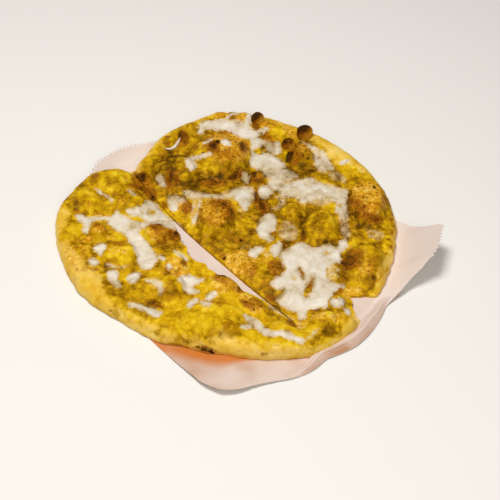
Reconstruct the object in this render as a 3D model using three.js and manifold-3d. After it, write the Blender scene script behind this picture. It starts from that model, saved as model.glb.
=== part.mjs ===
// A cheese naan on its sheet of takeaway paper. The naan is a thin round flatbread from a
// clay oven, spread with green herb chutney and melted white cheese, blistered and charred,
// and cut across almost to its rim by a wheel cutter, so that its halves still hold together.
// It lies flat on greaseproof paper with pinked edges, whose corners curl up round the rim.
//
// Millimetres, +Z up. The origin is on the table under the middle of the naan. The front is
// -Y. A bearing is an angle in plan, anticlockwise from +X.

import * as THREE from "three";
import { mergeVertices } from "three/addons/utils/BufferGeometryUtils.js";
import Module from "manifold-3d";

const wasm = await Module();
wasm.setup();

const { smoothstep, lerp, clamp, degToRad, radToDeg } = THREE.MathUtils;

// Sheet of paper.
const PAPER_THICKNESS = 0.5;
const PAPER_RINGS = [90, 103, 112, 120, 127, 134, 141, 148, 155, 163, 171];
const PAPER_SECTORS = 72;
const CURL_START = 5; // how softly the paper leaves the table outside the naan's rim
const SEAT_MARGIN = 3; // the paper stays flat until here outside the rim
const SEAT_RADIUS = 112; // and at least this far out, also in the cleft
const TOOTH_PITCH = 3.3; // pinked edge
const TOOTH_DEPTH = 2.2;

// Naan.
const NAAN_GRID = 52; // cells each way across the naan
const GRID_TURN = degToRad(30); // keeps the grid's corners away from the cut and the notch
const NAAN_BOTTOM = PAPER_THICKNESS + 0.35; // a hair of air keeps the bread off the paper
const CRUMB_TOP = 7.3; // height of the spread surface between the blisters
const CREST_TOP = 10.2; // height of the puffed rim at the back
const CREST_FRONT_EXTRA = 1.6; // the rim is this much higher at the front left
const CREST_FRONT_BEARING = degToRad(-130);
const CREST_INSET = 8; // the rim's crest lies this far inside its edge
const RIM_WIDTH = 25; // and the rim has sunk to the crumb by here
const RIM_EDGE_TOP = 6.4;
const RIM_EDGE_BOTTOM = 2.5;
const RIM_BULGE = 1.2; // the rounded side stands out this far between those two heights
const RIM_UNDERCUT = 8; // width of the rounded lower corner
const CHEESE_RELIEF = 1.5; // melted cheese stands this much proud of the chutney
const CUT_TOP = 4.9; // height of the crumb where the cutter pressed it thin
const CUT_PINCH = 13; // width of the pressed band beside the cut
const UNDULATION = 0.45; // slow unevenness of the baked surface

// The naan's edge: bearings in degrees, and radii. The two halves part in a cleft at 140.
const RIM = [
  [0, 127.8], [14, 128.4], [22, 127.4], [37, 127.6], [50, 127.2], [57, 128.3], [66, 130],
  [75, 131.8], [83, 134], [90, 134.5], [95, 133], [99, 130.3], [104, 126.5], [109, 123],
  [116, 118], [126, 106.6], [133.8, 99.7], [140.8, 98.1], [144.5, 105.7], [148, 113.2],
  [154, 120.3], [162, 124.4], [168, 127], [174, 128.4], [180, 128.4], [189, 126], [200, 125],
  [211, 124.2], [221, 121.6], [230, 119], [239, 119.8], [248, 121], [258, 122], [271, 127],
  [284, 134.5], [296, 139.8], [307, 139], [316.5, 133.7], [328, 129.3], [343, 127.5],
];

// Blisters broad enough to be part of the crumb's own surface: the middle, the half widths
// along X and Y, and how far the top rises over the crumb.
const BLISTERS = [
  { at: [-6, 73], half: [27, 25], rise: 14 }, // the great pillow behind the cut
  { at: [-39, 57], half: [20, 17], rise: 8 }, // its left shoulder
  { at: [-7, -1], half: [15, 20], rise: 12 }, // charred dome beside the cut
  { at: [71, -8], half: [15, 19], rise: 8 }, // smooth green dome
  { at: [50, 10], half: [8, 10], rise: 5 },
  { at: [35, 20], half: [8, 7], rise: 4 },
  { at: [24, 48], half: [7, 8], rise: 6 },
  { at: [108, 13], half: [15, 20], rise: 11 }, // golden blister on the right rim
  { at: [102, -45], half: [17, 17], rise: 9 }, // brown blister below it
  { at: [62, 74], half: [10, 10], rise: 8 }, // foot of the charred cluster
  { at: [10, -47], half: [11, 12], rise: 5 },
  { at: [80, -84], half: [8, 9], rise: 6 },
  { at: [68, -101], half: [12, 9], rise: 6 },
  { at: [85, -103], half: [8, 8], rise: 4 },
  { at: [-64, 62], half: [8, 9], rise: 5 },
  { at: [-51, -17], half: [12, 11], rise: 9 }, // brown-topped blister by the cut
  { at: [-77, -38], half: [14, 13], rise: 8 },
  { at: [-96, -12], half: [8, 10], rise: 6 },
  { at: [-54, -73], half: [20, 14], rise: 6 },
  { at: [-37, -70], half: [10, 13], rise: 7 },
  { at: [-8, -102], half: [28, 18], rise: 8 }, // long yellow dome near the front
  { at: [-92, 42], half: [14, 14], rise: 5 },
  { at: [-108, 20], half: [12, 13], rise: 4 },
  { at: [-74, 20], half: [11, 9], rise: 4 },
  { at: [-38, -46], half: [10, 11], rise: 5 },
  { at: [-1, -67], half: [12, 9], rise: 5 },
  { at: [21, -88], half: [11, 9], rise: 4 },
  { at: [41, -108], half: [11, 8], rise: 5 },
];

// Small hard blisters, most of them burnt: middle, radius, and rise over what is round them.
const KNOBS = [
  { at: [26, 121], radius: 6.5, rise: 7 },
  { at: [64, 101], radius: 7, rise: 8.5 },
  { at: [50, 87], radius: 6, rise: 6.5 },
  { at: [35, 95], radius: 5.5, rise: 4 },
  { at: [15, 128], radius: 5.5, rise: 3.5 },
  { at: [5, 129], radius: 5.5, rise: 4 },
  { at: [-7, 128], radius: 5.5, rise: 3.5 },
  { at: [-51, 92], radius: 6, rise: 4 },
  { at: [55, 108], radius: 6, rise: 5 },
  { at: [-38, -18], radius: 5, rise: 4 },
  { at: [37, -52], radius: 6, rise: 4 },
  { at: [80, -61], radius: 6, rise: 4 },
  { at: [-31, 12], radius: 5.5, rise: 4 },
];

const KNOB_SUNK = 2.5; // how deep their middles lie in the crumb

// Melted cheese, as strands with round ends: from, to, and half width.
const MELTED = [
  { from: [-20, 107], to: [5, 108], half: 7 },
  { from: [5, 108], to: [22, 92], half: 7 },
  { from: [22, 92], to: [24, 75], half: 6 },
  { from: [24, 72], to: [44, 60], half: 9 },
  { from: [-36, 30], to: [-4, 31], half: 7 },
  { from: [6, 30], to: [14, 18], half: 8 },
  { from: [40, 38], to: [64, 32], half: 11 },
  { from: [64, 34], to: [86, 30], half: 12 },
  { from: [88, 22], to: [88, -16], half: 4.5 },
  { from: [32, 2], to: [31, -12], half: 7 },
  { from: [50, -42], to: [74, -42], half: 14 },
  { from: [44, -64], to: [70, -60], half: 11 },
  { from: [46, -80], to: [66, -82], half: 10 },
  { from: [62, -86], to: [54, -106], half: 4 },
  { from: [-100, 6], to: [-72, 6], half: 6 },
  { from: [-70, 8], to: [-46, 4], half: 9 },
  { from: [-76, -6], to: [-58, -42], half: 8 },
  { from: [22, -100], to: [54, -114], half: 4 },
  { from: [-60, -84], to: [-46, -92], half: 4 },
];

// Crumbs and shreds of cheese that kept their shape: middle, length, width and bearing.
const CHEESE_BITS = [
  { at: [-92, -30], size: [12, 9], turn: 70 },
  { at: [-96, -42], size: [10, 8], turn: -20 },
  { at: [-80, -56], size: [19, 6], turn: -62 },
  { at: [-66, -57], size: [10, 9], turn: 80 },
  { at: [-25, -63], size: [17, 12], turn: -60 },
  { at: [-22, -83], size: [9, 5], turn: 45 },
  { at: [-9, -76], size: [9, 5], turn: 40 },
  { at: [86, -91], size: [8, 5], turn: -50 },
  { at: [93, 68], size: [8, 4], turn: 25 },
  { at: [-30, 66], size: [12, 7], turn: -65 },
  { at: [-2, 84], size: [7, 4], turn: -35 },
  { at: [21, -33], size: [8, 8], turn: 0 },
  { at: [111, -14], size: [11, 9], turn: 20 },
  { at: [-97, 30], size: [18, 4], turn: -52 },
  { at: [-50, 86], size: [10, 3], turn: -5 },
  { at: [-42, 95], size: [13, 3], turn: 68 },
];

// The cut, from the cleft to its blind end: points on its clean far side.
const CUT_POINTS = [[-84, 78], [-71, 54], [-58, 33], [-39, 5], [8, -52], [50, -99]];
// How wide it gapes, as pairs of place along it (0 to 1) and width.
const CUT_GAPES = [
  [0, 3], [0.1, 2], [0.2, 1.2], [0.36, 1.4], [0.42, 5], [0.48, 10], [0.57, 12], [0.64, 12],
  [0.69, 10.5], [0.77, 7], [0.87, 5.5], [0.96, 2.5], [1, 0.8],
];
const CUT_SAMPLES = 44;

// The small piece torn out of the rim at the lower right.
const NOTCH_POINTS = [[90, -75], [128, -73], [128, -112], [95, -99], [91.5, -92]];

// How steeply the paper curls up outside the rim: bearings in degrees, and slopes.
const CURLS = [
  [-180, 0.4], [-150, 0.1], [-110, 0.1], [-92, 0.2], [-64, 0], [-38, 0], [-28, 0.65], [-18, 1],
  [4, 1], [30, 0.2], [100, 0.2], [118, 0.8], [150, 0.9], [168, 0.5], [180, 0.4],
];

// The paper's edge in plan, anticlockwise from its raised right corner. Under the naan its
// true line can't be seen, so there it simply follows the rim a little way inside.
const PAPER_TOP_EDGE = [
  [158, -22], [145.5, -11.5], [133, 6], [113, 30], [88, 62], [50, 92], [0, 108],
];
const PAPER_PINKED_LEFT = [
  [-46, 110], [-58, 104], [-67, 97], [-79.5, 91], [-91.5, 82], [-98.5, 74], [-105, 67],
  [-112.5, 56],
];
const PAPER_LEFT_EDGE = [[-115, 47], [-116, 20], [-114, -15], [-100, -52], [-76, -86]];
const PAPER_FRONT_EDGE = [
  [-54, -107], [-42, -120.5], [-31.5, -132], [-20.5, -143.5], [-14.5, -150], [-8, -154.5],
  [-1.5, -157.5], [5, -157.5], [12, -156], [21.5, -152], [35, -148], [45.5, -145.5],
  [56, -141], [63, -136], [70, -128], [80, -124],
];
const PAPER_FOLD_EDGE = [ // under the pleats, and up along the right corner
  [90, -118], [99, -109], [106, -99], [111.5, -89], [115, -81], [119.5, -76], [126, -70],
  [133, -63], [141, -57.5],
];
const PAPER_PINKED_RIGHT = [[147, -52.5], [152, -45], [154, -38], [158, -24]];

// The pleated edge at the lower right: its inner line in plan, and the zigzag of its section,
// as distances outwards and up. It is lower at both ends.
const PLEAT_LINE = [[62, -127], [75, -117], [88, -109], [98, -96.5], [106, -81.5], [111, -73]];
const PLEAT_ZIGZAG = [[0, 0.45], [3.5, 0.8], [7, 5.5], [10, 3.8], [8.5, 2.6], [11.5, 1.1]];
const PLEAT_STEPS = 18;

// Curves and fields

// A smooth curve in plan through the listed points.
function planCurve(points, closed = false) {
  const at = points.map(([x, y]) => new THREE.Vector3(x, y, 0));
  return new THREE.CatmullRomCurve3(at, closed, "centripetal");
}

// The same curve as a list of points.
function smoothLine(points, steps) {
  return planCurve(points).getPoints(steps).map((p) => [p.x, p.y]);
}

// Distance in plan from (x, y) to the segment between two points.
function distanceToSegment(x, y, [ax, ay], [bx, by]) {
  const along = (x - ax) * (bx - ax) + (y - ay) * (by - ay);
  const share = clamp(along / ((bx - ax) ** 2 + (by - ay) ** 2), 0, 1);
  return Math.hypot(x - lerp(ax, bx, share), y - lerp(ay, by, share));
}

function distanceToLine(x, y, line) {
  let nearest = Infinity;
  for (let i = 1; i < line.length; i++) {
    nearest = Math.min(nearest, distanceToSegment(x, y, line[i - 1], line[i]));
  }
  return nearest;
}

// The value at a place in a list of [place, value] pairs, in straight steps.
function valueAt(place, pairs) {
  const next = pairs.findIndex(([p]) => p >= place);
  if (next <= 0) return next === 0 ? pairs[0][1] : pairs.at(-1)[1];
  const [p0, v0] = pairs[next - 1];
  const [p1, v1] = pairs[next];
  return lerp(v0, v1, (place - p0) / (p1 - p0));
}

// Radius of the rim at each bearing, read off the closed curve.
const RIM_SAMPLES = 1440;
const rimPoints = RIM.map(([bearing, radius]) => {
  return [radius * Math.cos(degToRad(bearing)), radius * Math.sin(degToRad(bearing))];
});
const rimByBearing = planCurve(rimPoints, true)
  .getPoints(RIM_SAMPLES)
  .map((p) => [Math.atan2(p.y, p.x), Math.hypot(p.x, p.y)])
  .sort((a, b) => a[0] - b[0]);

function rimRadius(bearing) {
  return valueAt(Math.atan2(Math.sin(bearing), Math.cos(bearing)), rimByBearing);
}

// How far (x, y) lies inside the rim; negative outside it.
function insideRim(x, y) {
  return rimRadius(Math.atan2(y, x)) - Math.hypot(x, y);
}

// A plump dome: 1 in the middle, 0 from its foot outwards, with steep sides.
function dome(q) {
  const s = Math.max(0, 1 - q * q);
  return s / (s + 0.4 * (1 - s) + 1e-9);
}

// Naan

const cutLine = smoothLine(CUT_POINTS, CUT_SAMPLES);
const torn = [NOTCH_POINTS.at(-1), NOTCH_POINTS[0], NOTCH_POINTS[1]];

// The rim swells from its edge to a crest and sinks again to the crumb.
function crustHeight(x, y) {
  const inside = Math.max(0, insideRim(x, y));
  const facing = Math.cos(Math.atan2(y, x) - CREST_FRONT_BEARING);
  const crest = CREST_TOP + CREST_FRONT_EXTRA * Math.max(0, facing);
  if (inside < CREST_INSET) {
    const t = 1 - inside / CREST_INSET;
    return lerp(RIM_EDGE_TOP, crest, Math.sqrt(1 - t * t));
  }
  return lerp(crest, CRUMB_TOP, smoothstep(inside, CREST_INSET, RIM_WIDTH));
}

// Neighbouring blisters run together instead of adding up.
function blisterHeight(x, y) {
  let sum = 0;
  for (const { at, half, rise } of BLISTERS) {
    const q = Math.hypot((x - at[0]) / half[0], (y - at[1]) / half[1]);
    sum += (rise * dome(q)) ** 4;
  }
  return sum ** 0.25;
}

function cheeseHeight(x, y) {
  let most = 0;
  for (const { from, to, half } of MELTED) {
    const away = distanceToSegment(x, y, from, to);
    most = Math.max(most, 1 - smoothstep(away, half * 0.6, half * 1.15));
  }
  return CHEESE_RELIEF * most;
}

function undulation(x, y) {
  const waves = Math.sin(x / 11 + 1.3) * Math.sin(y / 13) + Math.sin((x + y) / 17 + 0.4);
  return UNDULATION * waves;
}

function naanTop(x, y) {
  const baked = crustHeight(x, y) + blisterHeight(x, y) + cheeseHeight(x, y) + undulation(x, y);
  const toCut = Math.min(distanceToLine(x, y, cutLine), distanceToLine(x, y, torn));
  return lerp(CUT_TOP, baked, smoothstep(toCut, 0, CUT_PINCH));
}

// Where a point of a square from -1 to 1 goes on the naan's plan: rings of the square become
// rings of the bread, a little closer together towards the rim.
function onNaan(u, v) {
  const wide = Math.abs(u) > Math.abs(v);
  const reach = wide ? u : v;
  if (reach === 0) return [0, 0];
  const turn = wide ? (v / u) * (Math.PI / 4) : Math.PI / 2 - (u / v) * (Math.PI / 4);
  const bearing = turn + (reach < 0 ? Math.PI : 0) + GRID_TURN;
  const share = Math.abs(reach);
  const radius = rimRadius(bearing) * share * (1.12 - 0.12 * share * share);
  return [radius * Math.cos(bearing), radius * Math.sin(bearing)];
}

// Solids

// A box of fine cells whose every vertex is moved to where place says. Each cell is then
// split along its shorter diagonal, so that slanted cells don't turn into slivers.
function bentBox([across, along, layers], place) {
  const box = new THREE.BoxGeometry(2, 2, 2, across, along, layers);
  const at = box.getAttribute("position");
  for (let i = 0; i < at.count; i++) {
    at.setXYZ(i, ...place(at.getX(i), at.getY(i), at.getZ(i)));
  }
  const point = (i) => new THREE.Vector3().fromBufferAttribute(at, i);
  const corners = box.index.array;
  for (let i = 0; i < corners.length; i += 6) {
    const [a, b, d, , c] = corners.slice(i, i + 6);
    if (point(a).distanceTo(point(c)) < point(b).distanceTo(point(d))) {
      corners.set([a, b, c, a, c, d], i);
    }
  }
  return box;
}

// A closed three.js geometry as a solid that can be joined and cut.
function solidOf(geometry) {
  const bare = new THREE.BufferGeometry();
  bare.setAttribute("position", geometry.getAttribute("position"));
  bare.setIndex(geometry.index);
  const merged = mergeVertices(bare, 1e-4);
  return new wasm.Manifold(
    new wasm.Mesh({
      numProp: 3,
      vertProperties: merged.getAttribute("position").array,
      triVerts: new Uint32Array(merged.index.array),
    }),
  );
}

function geometryOf(solid) {
  const mesh = solid.getMesh();
  const geometry = new THREE.BufferGeometry();
  geometry.setAttribute("position", new THREE.BufferAttribute(mesh.vertProperties, mesh.numProp));
  geometry.setIndex(new THREE.BufferAttribute(mesh.triVerts, 1));
  geometry.computeVertexNormals();
  return geometry;
}

// An upright block of the given outline, from one height to another.
function upright(outline, low, high) {
  const shape = new THREE.Shape(outline.map(([x, y]) => new THREE.Vector2(x, y)));
  const block = new THREE.ExtrudeGeometry(shape, { depth: high - low, bevelEnabled: false });
  return solidOf(block.translate(0, 0, low));
}

// The side runs down from the top edge over a bulge to the lower edge, and then tucks in
// under the bread. The block cuts it off level where it lies on the paper.
function naanBody() {
  const place = (u, v, side) => {
    const [x, y] = onNaan(u, v);
    const radius = Math.hypot(x, y) + 1e-6;
    const layer = Math.round((1 - side) * 2);
    const out = [0, RIM_BULGE, 0, -RIM_UNDERCUT * 0.25, -RIM_UNDERCUT][layer];
    const top = naanTop(x, y);
    const z = [top, (top + RIM_EDGE_BOTTOM) / 2, RIM_EDGE_BOTTOM, NAAN_BOTTOM + 0.5, -1][layer];
    return [x * (1 + out / radius), y * (1 + out / radius), z];
  };
  const loaf = solidOf(bentBox([NAAN_GRID, NAAN_GRID, 4], place));
  const around = [[-200, -200], [200, -200], [200, 200], [-200, 200]];
  return loaf.intersect(upright(around, NAAN_BOTTOM, 60));
}

// The cutter leaves a clean far side; the near side has pulled away from it and is ragged.
function cutBlade() {
  const curve = planCurve(CUT_POINTS);
  const far = [];
  const near = [];
  for (let i = 0; i <= CUT_SAMPLES; i++) {
    const share = i / CUT_SAMPLES;
    const p = curve.getPointAt(share);
    const along = curve.getTangentAt(share);
    const ragged = 1 + 0.1 * Math.sin(i * 1.3) + 0.06 * Math.sin(i * 2.9);
    const gape = valueAt(share, CUT_GAPES) * ragged;
    far.push([p.x, p.y]);
    near.push([p.x + along.y * gape, p.y - along.x * gape]);
  }
  return upright([...near, ...far.reverse()], -5, 40);
}

// A small blister: a ball set into the surface, its hidden half flattened.
function knob({ at: [x, y], radius, rise }) {
  const ball = new THREE.IcosahedronGeometry(1, 1);
  const vertices = ball.getAttribute("position");
  for (let i = 0; i < vertices.count; i++) {
    const z = vertices.getZ(i);
    vertices.setZ(i, z * (z > 0 ? rise + KNOB_SUNK : 1));
  }
  ball.scale(radius, radius, 1);
  return solidOf(ball.translate(x, y, naanTop(x, y) - KNOB_SUNK));
}

// A crumb or shred of cheese, half sunk in the surface.
function cheeseBit({ at: [x, y], size: [length, width], turn }) {
  const bit = new THREE.SphereGeometry(1, 7, 4);
  bit.rotateX(Math.PI / 2).scale(length / 2, width / 2, 2);
  bit.rotateZ(degToRad(turn));
  return solidOf(bit.translate(x, y, naanTop(x, y) + 0.4));
}

function naanSolid() {
  const toppings = [...KNOBS.map(knob), ...CHEESE_BITS.map(cheeseBit)];
  return wasm.Manifold.union([naanBody(), ...toppings])
    .subtract(cutBlade())
    .subtract(upright(NOTCH_POINTS, -5, 40));
}

// Paper

// The paper lies flat under the naan and curls up outside its rim.
function paperHeight(x, y) {
  const bearing = Math.atan2(y, x);
  const seat = Math.max(rimRadius(bearing) + SEAT_MARGIN, SEAT_RADIUS);
  const outside = Math.max(0, Math.hypot(x, y) - seat);
  const slope = valueAt(radToDeg(bearing), CURLS);
  return (slope * outside * outside) / (outside + CURL_START);
}

// Saw teeth along a line, pointing to its right.
function pinked(line) {
  const curve = planCurve(line);
  const teeth = Math.round(curve.getLength() / TOOTH_PITCH);
  const points = [];
  for (let i = 0; i < teeth; i++) {
    const root = curve.getPointAt(i / teeth);
    const tip = curve.getPointAt((i + 0.5) / teeth);
    const along = curve.getTangentAt((i + 0.5) / teeth);
    points.push([root.x, root.y]);
    points.push([tip.x + along.y * TOOTH_DEPTH, tip.y - along.x * TOOTH_DEPTH]);
  }
  return points;
}

function paperOutline() {
  return [
    ...smoothLine(PAPER_TOP_EDGE, 18),
    ...pinked(PAPER_PINKED_LEFT),
    ...smoothLine(PAPER_LEFT_EDGE, 12),
    ...smoothLine(PAPER_FRONT_EDGE, 30),
    ...smoothLine(PAPER_FOLD_EDGE, 20),
    ...pinked(PAPER_PINKED_RIGHT),
  ];
}

// The folded edge: a strip bent to the zigzag, following the line of the fold.
function pleats() {
  const path = planCurve(PLEAT_LINE);
  const folds = PLEAT_ZIGZAG.length - 1;
  const strip = bentBox([PLEAT_STEPS, folds, 1], (u, v, side) => {
    const share = (u + 1) / 2;
    const p = path.getPoint(share);
    const along = path.getTangent(share);
    const fold = Math.round(((1 - v) / 2) * folds);
    const [x0, z0] = PLEAT_ZIGZAG[Math.max(0, fold - 1)];
    const [x1, z1] = PLEAT_ZIGZAG[Math.min(folds, fold + 1)];
    const half = (side * PAPER_THICKNESS) / 2 / Math.hypot(x1 - x0, z1 - z0);
    const size = 0.75 + 0.25 * Math.sin(Math.PI * share);
    const out = PLEAT_ZIGZAG[fold][0] * size - (z1 - z0) * half;
    const up = 0.45 + (PLEAT_ZIGZAG[fold][1] - 0.45) * size + (x1 - x0) * half;
    return [p.x + along.y * out, p.y - along.x * out, up];
  });
  return solidOf(strip);
}

function paperSolid() {
  const rings = [0, ...PAPER_RINGS];
  const under = rings.map((radius) => new THREE.Vector2(radius, 0));
  const top = rings.map((radius) => new THREE.Vector2(radius, PAPER_THICKNESS));
  const profile = [...under, ...top.reverse()];
  const sheet = new THREE.LatheGeometry(profile, PAPER_SECTORS).rotateX(Math.PI / 2);
  const at = sheet.getAttribute("position");
  for (let i = 0; i < at.count; i++) {
    at.setZ(i, at.getZ(i) + paperHeight(at.getX(i), at.getY(i)));
  }
  return solidOf(sheet).intersect(upright(paperOutline(), -5, 60)).add(pleats());
}

// Part

function meshOf(name, solid, colour, roughness) {
  const material = new THREE.MeshStandardMaterial({ color: colour, roughness, metalness: 0 });
  const mesh = new THREE.Mesh(geometryOf(solid), material);
  mesh.name = name;
  return mesh;
}

const naanOnPaper = new THREE.Group();
naanOnPaper.add(meshOf("paper", paperSolid(), 0xe6d3c9, 0.8));
naanOnPaper.add(meshOf("naan", naanSolid(), 0xc79a1e, 0.65));

export default naanOnPaper;
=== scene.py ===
# The looks of a cheese naan lying on its sheet of takeaway paper.
#
# Plan places and heights are millimetres in the part's own frame until a mesh is made.
# Marks on the bread are given by where the photograph shows them, in its 500 x 500 frame,
# and are laid onto the bread's surface from there.

import math

import bmesh
import bpy
import numpy as np
from mathutils import Matrix, Vector, noise


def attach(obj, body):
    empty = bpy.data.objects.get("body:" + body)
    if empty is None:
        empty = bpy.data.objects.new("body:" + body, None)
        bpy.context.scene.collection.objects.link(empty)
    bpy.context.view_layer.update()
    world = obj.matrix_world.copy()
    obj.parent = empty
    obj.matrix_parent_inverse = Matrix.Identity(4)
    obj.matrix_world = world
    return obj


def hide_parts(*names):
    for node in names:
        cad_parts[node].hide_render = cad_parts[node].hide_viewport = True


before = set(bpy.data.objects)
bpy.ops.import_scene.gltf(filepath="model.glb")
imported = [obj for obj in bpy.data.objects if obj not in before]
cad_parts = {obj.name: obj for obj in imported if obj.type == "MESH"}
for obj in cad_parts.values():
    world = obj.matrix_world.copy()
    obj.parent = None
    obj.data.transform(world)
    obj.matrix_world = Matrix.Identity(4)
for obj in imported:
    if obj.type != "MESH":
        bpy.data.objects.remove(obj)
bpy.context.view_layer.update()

MM = 0.001

# Camera
CAMERA_PLACE = (18.25, -553.815, 529.845)
CAMERA_TILT = 45.0
CAMERA_LENS = 72.0
CAMERA_SENSOR = 36.0
CAMERA_REACH = 20000.0
PHOTO_SIZE = 500.0
PHOTO_MIDDLE = PHOTO_SIZE / 2
FOCAL = PHOTO_SIZE * CAMERA_LENS / CAMERA_SENSOR
# The sine and the cosine of the camera's tilt, which are the same number.
TILT_SHARE = math.sqrt(0.5)

# Lights, each aimed at the part: its place, size, power and colour.
LIGHTS = {
    "window": ((-280, -40, 1290), 420, 13.4, (1.0, 0.98, 0.95)),
    "front_fill": ((200, -900, 800), 800, 5.0, (1.0, 0.97, 0.92)),
}
ROOM_COLOUR = (1.0, 0.97, 0.93)
ROOM_STRENGTH = 0.2
FLOOR_REACH = 4000.0
FLOOR_DROP = 0.2

# Lines and noise
SPAN_STEPS = 24
SEED_STEP = 7.3

# Bread
BREAD_CELLS = 284
GRID_TURN = math.radians(30)
NAAN_BOTTOM = 0.6
CRUMB_TOP = 7.3
CREST_TOP = 10.2
CREST_FRONT_EXTRA = 1.6
CREST_FRONT_BEARING = math.radians(-130)
CREST_INSET = 8.0
RIM_WIDTH = 25.0
RIM_EDGE_TOP = 6.4
RIM_WAVES = 1.3
CUT_TOP_FAR = 4.0
CUT_TOP_NEAR = 3.2
CLEFT_LIFT = 3.2
TORN_TOP = 2.8
CUT_PINCH = 13.0
UNDULATION = 0.45
CHEESE_RELIEF = 0.8
CHUNK_RELIEF = 1.1
FILM_RELIEF = 0.5
CHEESE_GRAIN = 0.25
# The height over the dough at which the cheese's place in the photograph is looked up.
CHEESE_LEVEL = 0.7
HOLLOW_REACH = 6.0
BLISTER_SWAY = 2.2
RIM_SAMPLES = 1440
WALL_WAVES = 0.5
# Cutting blocks reach from below the part to well above it.
BLOCK_BOTTOM = -5
CUT_BLOCK_TOP = 40
PAPER_BLOCK_TOP = 60

# Small lumps of baked dough: how high and how wide they are, and the seed of their noise.
LUMPS = [(0.55, 9, 1), (0.35, 4.5, 2), (0.22, 2.2, 3)]

# The side of the rim: how far it stands out, and its share of the height there.
RIM_SECTION = [(0.9, 0.8), (1.3, 0.55), (1.3, 0.3), (1.1, 0.09), (1.0, 0.01), (-6.0, 0.0)]

# The bread's edge: bearings in degrees, and radii.
RIM = [
    (0, 127.8), (14, 128.4), (22, 127.4), (37, 127.6), (50, 127.2), (57, 128.3), (66, 130),
    (75, 131.8), (83, 134), (90, 134.5), (95, 133), (99, 130.3), (104, 126.5), (109, 123),
    (116, 118), (126, 106.6), (133.8, 99.7), (140.8, 98.1), (144.5, 105.7), (148, 113.2),
    (154, 120.3), (162, 124.4), (168, 127), (174, 128.4), (180, 128.4), (189, 126), (200, 125),
    (211, 124.2), (221, 121.6), (230, 119), (239, 119.8), (248, 121), (258, 120.6), (271, 125),
    (284, 132.6), (296, 138.6), (307, 139), (316.5, 133.7), (328, 129.3), (343, 127.5),
]

# Blisters: the middle, the half widths along X and Y, and the rise over the crumb.
BLISTERS = [
    (-6, 73, 27, 25, 14), (-39, 57, 20, 17, 8), (-7, -1, 15, 20, 12), (71, -8, 15, 19, 8),
    (50, 10, 8, 10, 5), (35, 20, 8, 7, 4), (24, 48, 7, 8, 6), (108, 13, 15, 20, 11),
    (102, -45, 17, 17, 9), (62, 74, 10, 10, 8), (10, -47, 11, 12, 5), (80, -84, 8, 9, 6),
    (68, -101, 12, 9, 6), (85, -103, 8, 8, 4), (-64, 62, 8, 9, 5), (-51, -17, 12, 11, 9),
    (-77, -38, 15, 14, 6), (-96, -12, 8, 10, 6), (-54, -73, 20, 14, 6), (-37, -70, 10, 13, 7),
    (-8, -102, 28, 18, 8), (-92, 42, 14, 14, 5), (-108, 20, 12, 13, 4), (-74, 20, 11, 9, 4),
    (-38, -46, 10, 11, 5), (-1, -67, 12, 9, 5), (21, -88, 11, 9, 4), (41, -108, 11, 8, 5),
    (35, 95, 7, 6, 2.4), (14, 126, 7, 5, 2.0), (4, 127, 6, 5, 2.4), (-8, 127, 8, 6, 2.0),
    (-51, 93, 8, 7, 2.4), (55, 107, 7, 6, 3), (80, -61, 7, 7, 2.6), (-31, 13, 6, 7, 4),
]

# Small hard blisters: the middle, the radius, the rise over what is round them, and how
# burnt they are, from 0 to 1.
KNOBS = [
    (25, 121, 5.8, 7.0, 0.9), (63.5, 101, 6.7, 9.0, 0.95), (50, 90.5, 6, 6.4, 0.85),
    (-38, -18, 4.6, 3.4, 0.7), (37, -52, 5.6, 2.4, 0.5),
]
KNOB_SUNK = 2.5
KNOB_FOOT = 1.5
KNOB_WAIST = 0.22
KNOB_FOLDS = 0.12
KNOB_CRACKS = 0.03

# Kinds of mark that the bread's finish reads.
MARKS = (
    "bare", "far", "pressed", "hollow", "cheese", "film", "chunk", "char", "brown", "gold",
    "olive", "bright",
)

# The wheel cutter's cut: its clean far side, and pairs of place along it and gape.
CUT_POINTS = [(-84, 78), (-71, 54), (-58, 33), (-39, 5), (8, -52), (50, -99)]
CUT_GAPES = [
    (0, 1.6), (0.1, 0.7), (0.2, 0.6), (0.37, 0.9), (0.415, 4.6), (0.46, 10), (0.52, 14.2),
    (0.58, 16), (0.63, 15), (0.69, 12), (0.72, 8.4), (0.75, 7.8), (0.785, 8.2), (0.82, 6),
    (0.86, 2.4), (0.93, 1.6), (1, 0.8),
]
CUT_SAMPLES = 88
CUT_STEPS = 44
# Which way the far side of the cut lies.
CUT_FACING = (0.78, 0.62)

# The small piece torn out of the rim.
NOTCH_POINTS = [(90, -73), (128, -71), (128, -112), (95, -99), (91.5, -92)]
TEAR_SAMPLES = 90
TEAR_WAVES = 1.4
TORN_FROM = 78

# How far outside a patch or a strand its depth is still told, in pixels.
OUTSIDE_LIMIT = 8.0

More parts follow.
